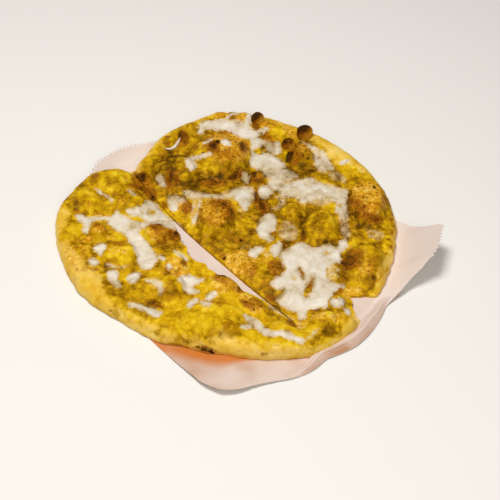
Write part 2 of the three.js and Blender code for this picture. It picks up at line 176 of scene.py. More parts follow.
# Melted cheese
CHEESE_PATCHES = {
    "back column": [
        (251, 139), (258, 137), (262, 141), (261, 147), (258, 151), (266, 153), (274, 155),
        (281, 160), (286, 166), (282, 170), (272, 170), (262, 171), (254, 168), (250, 163),
        (252, 153),
    ],
    "behind the dark spot": [(243.5, 173), (247, 172), (249.5, 177), (248, 182), (244, 181)],
    "left of the blister": [
        (233, 191), (242, 188), (251, 190), (253, 197), (249, 206), (245, 212), (240, 206),
        (235, 199),
    ],
    "small by the dark line": [(259, 187), (267, 186), (273, 190), (269, 197), (261, 199)],
    "right strand": [(336, 200), (346, 198), (346, 208), (343, 217), (338, 214)],
    "round white": [
        (260, 221), (265, 214), (271, 213), (277, 219), (276, 230), (270, 233), (274, 239),
        (270, 242), (263, 238), (258, 236), (256, 227),
    ],
    "upper left of the pool": [
        (273, 245), (279, 241), (283, 244), (281, 251), (276, 257), (271, 253),
    ],
    "pool": [
        (289, 248), (295, 244), (304, 243), (310, 246), (314, 248), (322, 246), (330, 245),
        (336, 247), (341, 240), (348, 240), (347, 246), (341, 253), (341, 262), (333, 264),
        (328, 268), (327, 277), (331, 284), (341, 286), (336, 291), (330, 299), (326, 308),
        (317, 308), (308, 311), (305, 318), (300, 320), (296, 314), (289, 309), (281, 306),
        (275, 300), (283, 294), (285, 289), (276, 289), (271, 285), (274, 279), (283, 273),
        (285, 264), (280, 257), (283, 250),
    ],
    "by the yellow bump": [(248, 252), (256, 247), (263, 247), (259, 256), (250, 257)],
    "left tail": [
        (75, 216), (84, 215), (91, 218), (103, 216), (104, 220), (92, 222), (88, 233), (83, 233),
        (84, 226), (78, 220),
    ],
    "left pool": [
        (112, 216), (117, 211), (124, 215), (130, 219), (140, 222), (150, 221), (160, 220),
        (171, 220), (182, 227), (178, 230), (168, 228), (161, 224), (152, 223), (146, 227),
        (139, 231), (143, 237), (150, 245), (155, 252), (158, 259), (154, 267), (147, 270),
        (141, 267), (137, 260), (134, 251), (130, 243), (123, 233), (113, 229), (107, 223),
    ],
    "left pool above": [
        (125, 210), (133, 208), (140, 205), (147, 201), (155, 203), (159, 208), (163, 213),
        (173, 220), (160, 222), (147, 222), (140, 217), (134, 216), (128, 214),
    ],
    "near the far cut": [(167, 200), (172, 198), (177, 203), (178, 210), (174, 213), (169, 207)],
    "great": [
        (178, 278), (187, 275), (196, 277), (204, 281), (197, 284), (193, 287), (199, 292),
        (190, 294), (184, 291), (182, 284),
    ],
    "pillow foot": [(184, 161), (188, 157), (193, 160), (196, 168), (192, 171), (187, 166)],
    "torn strand": [
        (107, 271), (113, 270), (118, 272), (119, 279), (122, 287), (117, 287), (111, 282),
        (107, 277),
    ],
    "front strand": [
        (128, 303), (135, 302), (142, 304), (150, 307), (158, 310), (163, 312), (159, 317),
        (150, 316), (144, 312), (137, 308), (130, 306),
    ],
}

# Thin cheese that the chutney shows through.
CHEESE_FILMS = {
    "long grainy": [
        (267, 180), (276, 177), (288, 180), (300, 178), (311, 176), (318, 180), (330, 184),
        (341, 187), (349, 190), (348, 199), (345, 206), (333, 203), (322, 201), (311, 203),
        (302, 204), (293, 199), (281, 199), (276, 191), (267, 187),
    ],
    "beside the column": [(264, 145), (270, 142), (281, 145), (282, 152), (276, 155), (266, 152)],
    "beside the great blister": [
        (198, 199), (204, 201), (200, 211), (198, 220), (194, 225), (191, 222), (195, 210),
    ],
    "below the column": [(263, 169), (285, 168), (300, 176), (290, 182), (270, 181), (263, 176)],
    "foot of the pillow": [
        (183, 190), (200, 191), (216, 193), (233, 188), (245, 185), (254, 187), (252, 200),
        (236, 201), (226, 200), (213, 199), (198, 199), (188, 200), (182, 196),
    ],
    "back right smear": [(313, 150), (322, 151), (328, 160), (330, 172), (322, 174), (315, 168)],
    "right smear": [
        (316, 147), (325, 150), (331, 160), (335, 170), (329, 173), (322, 166), (316, 158),
    ],
    "left hollow": [
        (155, 178), (159, 173), (164, 175), (166, 181), (167, 186), (162, 188), (157, 184),
    ],
    "beside the cut": [
        (165, 195), (174, 194), (184, 196), (189, 199), (184, 203), (174, 203), (168, 201),
    ],
    "left pool middle": [(128, 220), (140, 221), (143, 229), (136, 232), (128, 228)],
    "left of the near strand": [
        (104, 262), (116, 265), (128, 264), (129, 268), (114, 269), (105, 266),
    ],
    "cream streak": [
        (144, 280), (153, 277), (162, 280), (165, 288), (163, 295), (159, 297), (157, 290),
        (150, 286),
    ],
    "by the slit's end": [(266, 306), (276, 309), (286, 314), (297, 319), (292, 322), (278, 314)],
    "front chips": [(199, 301), (208, 300), (213, 304), (209, 308), (201, 307)],
    "near the slit": [
        (172, 249), (177, 249), (184, 254), (190, 260), (187, 263), (180, 259), (174, 254),
    ],
    "end of the front strand": [
        (305, 340), (309, 333), (315, 328), (320, 328), (318, 334), (311, 339),
    ],
    "tail of the pool": [(299, 316), (303, 316), (302, 323), (299, 330), (297, 325)],
    "cheese by the rim": [(230, 120), (238, 119), (246, 122), (246, 127), (238, 126), (231, 123)],
}

# The faintest traces of it.
CHEESE_TRACES = {
    "right of the dome": [(338, 210), (348, 208), (351, 222), (351, 240), (343, 240), (338, 226)],
    "bump by the pool": [(326, 264), (337, 265), (342, 272), (338, 282), (328, 283)],
    "below the smear": [(326, 166), (338, 170), (348, 178), (346, 185), (334, 182), (326, 176)],
    "right rim": [(364, 227), (374, 228), (386, 232), (383, 241), (369, 240)],
    "left of the great blister": [
        (192, 197), (199, 199), (197, 210), (192, 221), (187, 218), (190, 208),
    ],
    "right of the great blister": [(238, 205), (247, 206), (246, 217), (239, 221)],
    "by the yellow bump": [(237, 248), (245, 242), (252, 243), (250, 252), (240, 252)],
    "round the hard blister": [
        (262, 252), (278, 252), (286, 262), (284, 276), (276, 258), (264, 260),
    ],
    "by the green dome": [
        (277, 224), (286, 219), (296, 222), (301, 230), (298, 240), (288, 243), (278, 238),
    ],
    "below the grainy part": [
        (272, 196), (283, 194), (289, 202), (283, 210), (273, 213), (268, 208), (277, 203),
    ],
    "right of the grainy part": [(312, 197), (326, 196), (332, 203), (322, 208), (312, 206)],
}
TRACE_LIMIT = 3.0
TRACE_THINNER = 1.8

# Strands: points with half widths.
CHEESE_STRANDS = {
    "back band": [
        (200, 132, 3), (202, 126, 3.5), (209, 125, 4.6), (220, 124.5, 5.4), (229, 125.5, 5.8),
        (237, 130, 5.6), (246, 133.5, 6), (254, 135, 5.2), (262, 131, 2.8), (267, 128.5, 1.8),
    ],
    "up past the knob": [(246, 128, 3.4), (248, 120, 3), (250, 114, 2.6)],
    "fan above the column": [(262, 143, 2.4), (269, 144, 2)],
    "chip right of it": [(276.5, 145, 3), (277.5, 151, 3)],
    "across the front half": [
        (246, 317, 2.6), (254, 322, 3.2), (262, 329, 3), (271, 334, 3.2), (281, 333, 3.4),
        (292, 337, 3), (302, 341, 2.6),
    ],
    "short one before it": [(241, 327, 1.6), (250, 326, 2)],
    "band below the pillow": [(192, 158, 2), (200, 157, 2.6), (209, 154, 2.2)],
    "towards the left rim": [(103, 218, 2), (112, 219, 3.4)],
    "thin one at the back": [(309, 145, 1.2), (316, 149, 1.2)],
    "down the far cut": [(182, 229, 1.4), (176, 226, 2)],
    "left line": [(94, 188, 1), (99, 191, 1.3), (103, 194, 0.8), (108, 198, 1.3), (112, 200, 1)],
    "beside the hard blister": [(300, 141, 1), (306, 143, 1.2), (312, 148, 1.4), (317, 153, 1.6)],
    "loop at the rim": [(227, 119, 1.4), (231, 114.5, 1.4), (236, 113, 1.2)],
    "left of the cut": [(130, 191, 1.6), (134, 194, 1.4)],
    "right of the pool": [(329, 283, 2.4), (336, 286, 2.4), (343, 286, 1.4)],
    "through the grainy part": [
        (272, 186, 3), (284, 190, 2.6), (296, 184, 3), (308, 190, 3.4), (320, 186, 3.2),
        (332, 194, 3.6), (343, 195, 3.4),
    ],
}

# Chunks that kept their shape.
CHEESE_CHUNKS = {
    "by the notch": [(330, 300), (336, 298), (344, 299), (345, 304), (338, 307), (331, 305)],
    "left upper": [
        (93, 248), (97, 244), (104, 243), (107, 246), (104, 251), (101, 256), (97, 253),
    ],
    "left lower": [(88, 260), (92, 258), (98, 261), (99, 264), (93, 266), (89, 264)],
    "middle": [
        (126, 278), (132, 273), (139, 272), (140, 277), (136, 282), (131, 284), (128, 281),
    ],
    "front right": [(205, 299), (208, 294), (215, 291), (217, 294), (212, 299), (207, 301)],
    "front left": [(187, 306), (190, 301), (197, 298), (199, 300), (195, 304), (190, 308)],
    "on the pillow": [(221, 140), (226, 139), (231, 143), (230, 146), (224, 145)],
    "beyond the pillow": [(203, 143), (207, 140), (213, 139), (208, 143), (204, 144)],
    "notch": [(343, 309), (347, 308), (351, 313), (350, 315), (346, 313)],
    "back right": [(339, 163), (344, 160), (349, 160), (347, 163), (341, 165)],
    "by the near cut": [(158, 256), (161, 255), (166, 259), (164, 261), (160, 259)],
    "pea": [(166, 266), (169, 264), (173, 267), (170, 270), (167, 269)],
}

# Thin shreds lying on the bread: points along them, and half their thickness.
CHEESE_SHREDS = {
    "curl": ([(163, 147.5), (168, 149.5), (173, 148.5), (177, 144), (180.5, 137)], 1.5),
    "by the pillow": ([(204, 143), (208, 140.5), (213, 139)], 1.1),
    "back right": ([(340, 164), (344, 162), (349, 160)], 1.6),
}
SHRED_STEPS = 24
SHRED_SWELL = 0.25
SHRED_FLATNESS = 0.8

# Holes in the cheese
CHEESE_HOLES = {
    "upper": (301.3, 272.8, 2.3, 4.6, -20),
    "long": (309.5, 287, 3.4, 8.8, 20),
    "long end": (306.5, 296, 3.2, 2.4, 0),
    "dot": (294, 278, 1.6, 1.4, 0),
    "by the knob": (262, 133.5, 2.4, 2.2, 0),
    "near the far rim": (259, 150.5, 5, 3, -10),
    "left pool": (152, 212, 2.6, 2.2, 0),
    "left pool middle": (135, 218.5, 4, 2, 25),
    "left pool low": (131, 225, 3, 3, 0),
    "pool corner": (326, 253, 2.2, 1.2, 0),
    "grainy one": (331, 189, 2, 1.2, 0),
    "grainy two": (341, 205, 2.4, 1.2, 0),
    "grainy three": (296, 193, 3, 1.6, 0),
    "below the round one": (274, 233, 4, 1.8, 10),
    "left of it": (299, 190, 2, 1, 0),
}

# Burnt places, with painted shadow at the foot of the big pillow blister and beside a strand,
# listed by how strong they are: the middle, the half widths, and the turn in degrees of those that
# are turned.
CHAR_AND_SHADOW_SPOTS = {
    0.3: [(150, 334.5, 4, 1, 10)],
    0.34: [(389, 222, 5, 15, -4)],
    0.36: [(229, 147, 13, 7, 10)],
    0.38: [(366, 195, 13, 13, 20), (163, 232, 10, 6, 14), (361, 257, 9, 9)],
    0.4: [(184, 261.5, 3, 2.6, 20), (273, 172, 2, 1), (217, 208, 10, 7, 20)],
    0.5: [
        (165, 172, 5, 4), (303, 152, 8.5, 6, 20), (353, 252, 4, 2, 30), (358, 248, 3, 1.6, 20),
        (226, 135, 1, 1), (158, 190, 2, 2), (152.5, 302.5, 4, 1.1, 20), (178, 281, 1.2, 4, -20),
        (344, 285, 2, 3), (95, 238, 1.2, 1.2),
    ],
    0.55: [(175, 186, 4, 5), (376, 219, 9, 3.4, 5), (231, 113.5, 3, 3, 10)],
    0.6: [
        (150, 191, 4, 3, 40), (185, 138, 4, 7), (211, 186, 7, 3.4), (262.5, 133.4, 2, 1.4),
        (279, 267, 5.4, 6, 20), (242, 291, 1.4, 4, -30), (219, 202, 3, 1.6), (267, 214, 2.4, 3),
        (234, 118, 2.4, 2), (99, 235, 1.4, 1.6), (86, 235, 1.2, 1),
    ],
    0.65: [(231, 212, 2, 5, -10), (303, 232, 1.8, 4.5)],
    0.7: [
        (143, 189, 5, 3, 20), (172, 174, 3, 6), (308, 158, 2.4, 1.6), (258, 181.5, 5, 2.4),
        (236, 174, 4, 3.4), (262, 301.5, 3, 1.2, 20), (292, 323.5, 5, 1.2, 36),
        (224, 203.5, 4, 2.6, 20), (283, 268, 2.4, 5, 10), (214, 156, 1.4, 1),
        (235, 157, 1.2, 1.6, 20), (236, 142, 1.4, 1), (250, 217, 2, 2), (183, 291, 1.6, 4, -20),
    ],
    0.72: [(349, 261, 8, 6, -38)],
    0.75: [
        (182, 134.5, 5.5, 4.6, 20), (213, 145, 5.5, 5, 20), (254, 174, 3, 4), (256, 196, 3, 6),
    ],
    0.8: [
        (243, 145.5, 3, 4.5), (233, 177, 8, 3, -20), (297, 153, 1.4, 1.1), (310, 149, 1.2, 1.3),
        (301, 158.5, 1.6, 1), (262, 206, 2.6, 5, -30), (364, 206, 1.2, 3), (367, 209, 1.4, 1.2),
        (126, 245.5, 2.2, 1.4, 20), (239, 287.5, 2.4, 2, 40), (187, 127, 1.4, 1.2),
        (242, 150, 1.6, 1.6), (300, 217, 2, 1.6), (318, 309.5, 7, 1.2, -3),
    ],
    0.85: [
        (141, 177, 7, 4.4, 40), (287, 142.5, 4.6, 4, 20), (203, 348.5, 8, 2.2, 16),
        (211, 351, 4, 2.2, 16),
    ],
    0.9: [
        (300, 149.5, 1.5, 1.1, 20), (306, 151, 1.3, 1.5), (303.5, 154.5, 2.6, 1.2, 30),
        (224, 258.5, 2.2, 3, 20), (363, 197, 1.6, 1.2), (176, 236, 5, 2.6, 5),
        (160, 224, 9, 1.6, 14), (278, 308, 5, 1.2, 36), (203, 153, 2, 1.4, -30),
    ],
    0.95: [(289.5, 156.5, 4.2, 7, 10), (223, 275.5, 6, 1.2, 8)],
    1: [
        (152.5, 198.5, 2.4, 2.4), (218, 141.5, 2.6, 2), (258, 115, 6.5, 3.4, 10),
        (304, 128.5, 6.5, 4.6), (241, 240.5, 2.4, 1.8), (358, 187, 1.6, 1.4),
        (362, 186, 1.2, 1.2), (374, 187, 2, 1.4, 20), (342, 262, 1.8, 1.6),
        (220, 155.5, 1.8, 0.9),
    ],
}

# Toasted brown places, and painted shade at the foot of the big pillow blister.
BROWN_SPOTS = {
    0.25: [(371, 279, 3.5, 8, 20)],
    0.3: [(86, 269, 7, 4), (279, 137, 4, 4), (375, 264, 3.5, 8, 10), (117, 194, 5, 4)],
    0.35: [(230, 327, 8, 5)],
    0.4: [
        (255, 280, 5, 4), (230, 153, 16, 6, 10), (266, 354, 4.5, 2), (226, 237, 9, 6),
        (210, 217, 5, 3), (77, 213, 5, 3),
    ],
    0.45: [(266, 283, 5, 4), (264, 288, 8, 5, 30), (94, 178, 4, 7, 20), (170, 292, 5, 10)],
    0.5: [
        (225, 168, 9, 5, -20), (224, 133, 6, 2.4, -10), (162, 153, 5, 3), (384, 201, 4, 9, 10),
        (251, 273, 6, 5), (225, 165, 7, 5, -10), (344, 276, 3, 8), (110, 261, 4, 2),
        (94, 269, 6, 2, 10), (152, 303, 9, 3, 22), (303, 236, 3, 6),
    ],
    0.6: [
        (172, 214, 5, 2, 50), (302, 155, 9, 6), (212, 184, 14, 5), (362, 207, 5, 4),
        (219, 304, 4, 3.6), (271, 296, 6, 6, 40), (240, 240, 6, 4), (318, 310.5, 9, 2),
        (322, 320, 8, 1.6), (110, 311, 2, 1.4),
    ],
    0.7: [
        (386, 253, 2.2, 1.6), (166, 142, 4, 4), (195, 147, 4, 3), (135, 185, 9, 3),
        (273, 143, 4, 3, 40), (236, 176, 10, 5, -20), (257, 178, 7, 7), (356, 203, 7, 6),
        (302.5, 273, 2.6, 4), (316, 310, 8, 1.6), (98, 224, 4.5, 3, 10), (222, 278, 8, 4, 8),
        (239, 290, 4, 4, 30), (256, 303, 9, 4, 14), (223, 257, 4, 4, 20), (214, 202, 7, 3, -16),
        (222, 279, 8, 4, 8), (232, 115, 4, 5, 10), (284, 246, 2.2, 7, -38),
        (293, 242, 4, 2.4, -20), (274, 232.5, 4, 1.8, 10),
    ],
    0.75: [
        (172, 180, 7, 11), (165, 205, 5, 2.4, 50), (263, 208, 5, 8, -20), (188, 208.5, 6, 6),
        (240, 111.5, 4, 1.6),
    ],
    0.8: [
        (389, 239, 1.8, 1.4), (391, 247, 1.6, 2.2), (232, 132, 4, 2, 20), (168, 137, 3, 1.6),
        (150, 192, 9, 4, 30), (267, 137, 5, 4, 30), (291, 145, 7, 5), (257, 198, 5, 9),
        (311, 284, 2.8, 5, 20), (173, 234, 8, 4, 10), (119, 244, 7, 2.4, 8),
        (184, 262, 4, 3.4, 20), (206, 349, 11, 3, 14), (248, 305, 9, 4, 30),
        (334, 292, 7, 4, -20),
    ],
    0.85: [(256, 124, 4, 7), (339, 291, 5, 3.4, -20), (158, 227, 10, 4, 12)],
    0.9: [
        (391.5, 219, 2, 2), (388, 226, 1.8, 1.4), (392, 232, 1.6, 2.2), (213, 147, 9, 7, 20),
        (244, 147, 5, 7), (304, 133, 6.5, 6), (276, 267, 8, 8), (291, 323, 7, 2.4, 34),
        (231, 213, 5, 9, -10),
    ],
    0.95: [(294, 157, 6, 8), (225, 204, 8, 5, 18)],
    1: [
        (183, 138, 6, 9), (141, 181, 11, 9, 35), (150, 192, 8, 6, 45), (153, 198, 4, 4),
        (372, 218, 11, 5, 5), (352.5, 259.5, 13, 9, -38), (187, 205, 4, 5),
    ],
}

# Golden baked places, where the dough is bare.
GOLD_SPOTS = {
    0.3: [(158, 306, 16, 4, 12)],
    0.35: [(82, 250, 14, 20, -10), (115, 250, 12, 5, 10)],
    0.4: [(280, 325, 9, 4, 20), (70, 265, 8, 24, -15), (212, 299, 10, 6)],
    0.5: [
        (296, 130, 14, 8, 20), (262, 258, 8, 8), (340, 318, 12, 5), (122, 200, 5, 4),
        (300, 322, 5, 6), (102, 214, 10, 3, 8),
    ],
    0.6: [
        (240, 116, 6, 6), (270, 124, 9, 5, 10), (363, 263, 11, 12), (357, 293, 12, 7),
        (90, 204, 5, 3), (303, 150, 9, 6),
    ],
    0.7: [(318, 316, 9, 3), (350, 293, 5, 6), (380, 275, 4, 7, 12)],
    0.8: [
        (232, 138, 12, 7, 20), (186, 208, 7, 8), (98, 228, 7, 6), (228, 285, 15, 7, 20),
        (252, 304, 13, 6, 30), (170, 263, 6, 4), (222, 288, 10, 5, 10), (89, 239, 5, 2.4),
    ],
    0.9: [(222, 114, 6, 4), (213, 212, 15, 13), (160, 232, 13, 10, 15), (176, 266, 12, 9)],
    0.95: [(226, 148, 22, 13, 10), (240, 264, 15, 12)],
    1: [(367, 199, 17, 16, 20)],
}

# Bright yellow places, with painted highlights on some blisters and painted light on the rim's
# side where it faces away from the lamps.
BRIGHT_SPOTS = {
    0.3: [(293, 210, 17, 15, 10), (280, 338, 12, 4, 10)],
    0.4: [
        (96, 277, 8, 6, 40), (98, 260, 12, 8, 10), (100, 207, 8, 4), (104, 224, 8, 6, 30),
        (145, 292, 12, 8, 10), (166, 318, 8, 6, 20), (120, 157, 18, 5, -20), (90, 204, 8, 4),
        (312, 168, 14, 5, 10),
    ],
    0.5: [
        (262, 344, 30, 8, 2), (330, 228, 7, 10), (196, 288, 7, 9), (146, 165, 6, 10),
        (268, 181, 4, 4), (352, 186, 5, 6), (208, 316, 20, 10), (97, 235, 8, 6),
        (235, 160, 14, 8, -15), (328, 208, 9, 6), (225, 318, 10, 5), (225, 286, 16, 6, 20),
        (288, 319, 6, 3, 30), (118, 175, 12, 5, -10), (240, 345, 40, 7, 4), (360, 172, 10, 5, 45),
        (264, 258, 10, 5),
    ],
    0.6: [
        (344, 271, 4, 6), (230, 170, 7, 7), (212, 153, 9, 9, 20), (255, 208, 6, 5),
        (140, 218, 7, 4), (194, 228, 6, 10), (172, 245, 10, 6, 10), (149, 238, 7, 9, -30),
        (252, 300, 16, 6, 20), (194, 307, 6, 5), (172, 318, 6, 6), (253, 185, 5, 3),
        (228, 197, 6, 4), (222, 238, 5, 10, 20), (316, 153, 12, 5, 10), (190, 176, 10, 5),
        (168, 308, 10, 9, 20), (318, 175, 8, 5), (200, 262, 6, 8), (300, 128, 14, 5, 15),
        (306, 340, 6, 4), (277, 212, 5, 4),
    ],
    0.7: [
        (382, 252, 5, 6), (100, 187, 12, 5), (276, 134, 9, 8, 30), (256, 152, 5, 6),
        (310, 158, 9, 8), (208, 208, 4, 9, 10), (228, 199, 6, 5), (334, 215, 5, 9),
        (351, 222, 5, 6), (95, 238, 12, 5), (125, 276, 6, 10), (280, 325, 6, 6), (268, 322, 7, 5),
        (205, 168, 16, 7), (302, 211, 5, 10), (333, 272, 7, 7), (179, 334, 9, 7, 30),
    ],
    0.8: [
        (322, 344, 11, 4, -20), (343, 316, 9, 8), (360, 276, 6, 8, 20), (128, 177, 12, 6, 5),
        (209, 171, 9, 7, 10), (196, 136, 9, 5, -10), (253, 334, 10, 5, 10), (280, 264, 8, 6, 20),
        (341, 323, 5, 9), (328, 306, 8, 5), (197, 200, 13, 6, 15), (353, 247, 5, 11, 35),
        (175, 215, 12, 5, -15), (185, 257, 5, 9), (177, 309, 14, 6, -10), (266, 323, 6, 5),
        (355, 325, 7, 6), (240, 215, 7, 8), (237, 218, 6, 12, -20), (262, 261, 11, 5),
        (292, 321, 8, 3, 40), (306, 332, 12, 4, -10), (336, 157, 10, 10, 40), (240, 262, 14, 10),
        (135, 316, 8, 4, 20), (191, 267, 5, 4),
    ],
    0.9: [
        (248, 163, 6, 12, -20), (323, 175, 11, 9, 20), (246, 308, 16, 6, 20), (256, 282, 4, 6),
        (179, 263, 9, 11, 20), (237, 262, 14, 11), (222, 288, 17, 8, 20), (193, 210, 7, 12, 10),
        (366, 193, 15, 10, 35), (363, 259, 5, 6), (360, 295, 20, 6), (320, 311, 14, 10),
        (279, 203, 7, 9), (156, 281, 7, 10), (354, 282, 14, 14, 20), (324, 310, 18, 8),
    ],
    1: [
        (233, 352, 24, 5, 3), (349, 249, 6, 8, 30), (242, 262, 8, 7), (236, 144, 14, 9, 10),
        (342, 162, 11, 14, -20), (78, 228, 7, 6), (145, 235, 6, 7, -30), (204, 265, 8, 6, 20),
        (160, 281, 7, 7), (386, 272, 5, 12, 12), (297, 327, 6, 12, -35), (315, 330, 10, 5, -10),
        (236, 353, 22, 6, 8), (383, 276, 5, 18, 12), (120, 256, 15, 10, 10),
        (384, 274, 4, 18, 12), (380, 275, 4, 7, 12),
    ],
}

# Dark olive places: oily chutney, and painted shade at the feet of blisters and beside a strand.
OLIVE_SPOTS = {
    0.3: [
        (159, 334, 8, 4, 25), (195, 325, 9, 5), (212, 240, 18, 12), (70, 242, 8, 6),
        (232, 322, 12, 9), (319, 257, 3, 1.4), (199, 171, 6, 5),
    ],
    0.35: [(86, 269, 8, 7, 20), (320, 227, 17, 16), (184, 318, 6, 4), (290, 208, 8, 5)],
    0.4: [
        (256, 279, 7, 5), (206, 161, 8, 6), (200, 130, 8, 5), (283, 222, 9, 12), (366, 204, 7, 9),
        (305, 244, 6, 5), (225, 212, 6, 5), (378, 228, 14, 8), (222, 221, 6, 8),
        (204, 196, 12, 4), (206, 138, 7, 5), (262, 170, 6, 6), (136, 264, 3, 7),
        (245, 300, 10, 4, 20), (210, 338, 5, 5), (84, 196, 6, 3), (147, 165, 6, 4),
        (255, 300, 5, 3, 30), (182, 172, 8, 6),
    ],
    0.45: [(340, 271, 4, 8)],
    0.5: [
        (276, 353, 12, 3), (136, 191, 9, 6), (309, 141, 5, 4), (114, 183, 9, 6), (326, 285, 7, 6),
        (359, 178, 7, 6), (270, 229, 6, 6), (276, 189, 8, 5), (228, 334, 11, 7),
        (122, 302, 9, 6, 20), (66, 239, 7, 7), (350, 266, 8, 5), (278, 174, 9, 5),
        (344, 201, 6, 8), (240, 166, 12, 7, -20), (330, 177, 14, 5, 12), (200, 222, 4, 10),
        (216, 250, 7, 4, 10), (255, 245, 8, 5), (293, 214, 9, 4), (318, 322, 8, 3),
        (336, 310, 9, 3), (180, 195, 12, 6, 20), (208, 193, 10, 4), (345, 215, 8, 14),
        (346, 236, 6, 6), (85, 258, 4, 10, -10), (240, 236, 8, 5), (104, 234, 6, 7),
        (94, 236, 6, 4), (108, 240, 6, 4), (118, 296, 9, 4, 40), (74, 238, 4, 3),
        (85, 268, 6, 3, 20), (112, 260, 5, 2.4), (166, 325, 4, 3), (118, 194, 8, 4, 10),
        (78, 212, 8, 4, 20), (197, 135, 8, 4), (165, 197, 7, 4, 30),
    ],
    0.55: [(135, 292, 20, 5, 16)],
    0.6: [
        (283, 176, 10, 4), (359, 223, 7, 6), (67, 200, 4, 5), (105, 169, 6, 4, -20),
        (293, 172, 14, 6, 5), (237, 190, 10, 5), (218, 205, 7, 10, 10), (150, 292, 18, 6, 5),
        (140, 312, 8, 4, 10), (380, 262, 3.5, 8, 14), (372, 270, 5, 14, 14), (248, 322, 7, 5),
        (228, 253, 6, 6), (251, 271, 6, 8), (315, 341, 9, 5), (305, 144, 7, 5), (110, 266, 6, 5),
        (266, 166, 9, 6, 20), (268, 199, 7, 5), (290, 290, 12, 6), (268, 284, 5, 6),
        (348, 234, 6, 6), (268, 334, 7, 6), (246, 174, 8, 5), (160, 162, 6, 8), (190, 184, 12, 7),
        (240, 178, 12, 6), (262, 206, 14, 7), (247, 232, 9, 5, -10), (322, 242, 12, 5),
        (360, 215, 12, 4, 10), (334, 176, 8, 5, 20), (136, 280, 7, 9), (238, 243, 10, 5),
        (268, 278, 6, 7), (275, 306, 7, 4), (305, 142, 6, 4), (175, 246, 8, 5, 20),
        (125, 286, 9, 3, 20), (170, 287, 7, 12), (74, 223, 6, 3), (93, 252, 3, 9, -10),
        (95, 178, 6, 8, 30),
    ],
    0.7: [
        (272, 145, 6, 5), (79, 201, 6, 5), (331, 170, 6, 9, -30), (240, 173, 7, 7),
        (262, 168, 7, 6), (258, 198, 16, 5, -12), (187, 208, 5, 4), (136, 225, 6, 4),
        (235, 243, 6, 5), (370, 282, 6, 18, 20), (345, 231, 7, 8), (273, 142, 6, 6),
        (160, 176, 6, 8), (175, 198, 7, 9, 20), (109, 284, 8, 6, 30), (138, 286, 9, 9),
        (311, 282, 11, 9), (372, 270, 4.5, 10, 12), (315, 341, 7, 5), (170, 158, 9, 9),
        (165, 188, 10, 3), (275, 203, 9, 5, 10), (303, 172, 6, 4), (231, 250, 9, 4, -10),
        (303, 222, 3, 14), (258, 285, 12, 7, 30), (272, 294, 10, 6, 30), (377, 250, 5, 12, 12),
        (371, 283, 5, 10, 24), (345, 280, 5, 9), (307, 214, 5, 9, 20), (170, 172, 12, 9, 60),
        (162, 186, 14, 9, 40), (78, 244, 8, 6), (165, 243, 9, 7, 20), (155, 303, 10, 4, 25),
    ],
    0.75: [(305, 168, 14, 5, 6)],
    0.8: [
        (82, 183, 6, 4), (145, 208, 6, 7), (267, 282, 7, 6), (268, 146, 8, 7), (284, 250, 7, 7),
        (205, 178, 26, 7), (330, 330, 11, 7), (246, 177, 10, 7), (272, 236, 5, 4),
    ],
    0.9: [
        (266, 217, 13, 6), (290, 212, 6, 7), (180, 230, 6, 7), (349.5, 202, 2.6, 13, 4),
        (286, 244, 4, 9, 40),
    ],
    1: [(136, 290, 8, 6)],
}

SPOTS = {"char": CHAR_AND_SHADOW_SPOTS, "brown": BROWN_SPOTS, "gold": GOLD_SPOTS, "olive": OLIVE_SPOTS}
SPOT_WANDER = 1.2
BARE_SOFTNESS = 9

# How wide the bare dough of the rim shows: bearings in degrees, and widths.
BARE_WIDTHS = [
    (-180, 11), (-170, 1), (-160, 12), (-150, 19), (-143, 15), (-136, 6), (-130, 1.5), (-123, 4),
    (-116, 3), (-110, 2), (-104, 1), (-97, 2), (-90, 8), (-83, 7), (-77, 3), (-68, 1), (-58, 1),
    (-50, 6), (-40, 4), (-25, 4), (-12, 2), (0, 2), (10, -2), (20, 2), (28, 8), (36, 15),
    (44, 16), (52, 13), (62, 8), (75, 8), (85, 5), (105, 6), (118, 4), (130, 5), (140, 6),
    (147, -2), (155, -6), (166, -6), (173, 2), (180, 12),
]

# Paper
PAPER_CELLS = 190
PAPER_REACH = 172.0
PAPER_THICKNESS = 0.4
PAPER_TOP = 0.5
CURL_START = 5.0
SEAT_MARGIN = 3.0
SEAT_RADIUS = 112.0
TOOTH_PITCH = 3.3
TOOTH_DEPTH = 2.2
CURLS = [
    (-180, 0.4), (-150, 0.1), (-110, 0.1), (-92, 0.2), (-64, 0), (-38, 0), (-28, 0.65), (-18, 1),
    (4, 1), (30, 0.2), (100, 0.2), (118, 0.8), (150, 0.9), (168, 0.5), (180, 0.4),
]
PAPER_TOP_EDGE = [
    (158, -22), (145.5, -11.5), (133, 6), (113, 30), (88, 62), (50, 92), (0, 108),
]
PAPER_PINKED_LEFT = [
    (-46, 110), (-58, 104), (-67, 97), (-79.5, 91), (-91.5, 82), (-98.5, 74), (-105, 67),
    (-112.5, 56),
]
PAPER_LEFT_EDGE = [(-115, 47), (-116, 20), (-114, -15), (-100, -52), (-76, -86)]
PAPER_FRONT_EDGE = [
    (-54, -107), (-42, -120.5), (-31.5, -132), (-20.5, -143.5), (-14.5, -150), (-8, -154.5),
    (-1.5, -157.5), (5, -157.5), (12, -156), (21.5, -152), (35, -148), (45.5, -145.5), (56, -141),
    (63, -136), (70, -128), (80, -124),
]
PAPER_FOLD_EDGE = [
    (90, -118), (99, -109), (106, -99), (111.5, -89), (115, -81), (119.5, -76), (126, -70),
    (133, -63), (141, -57.5),
]
PAPER_PINKED_RIGHT = [(147, -52.5), (152, -45), (154, -38), (158, -24)]
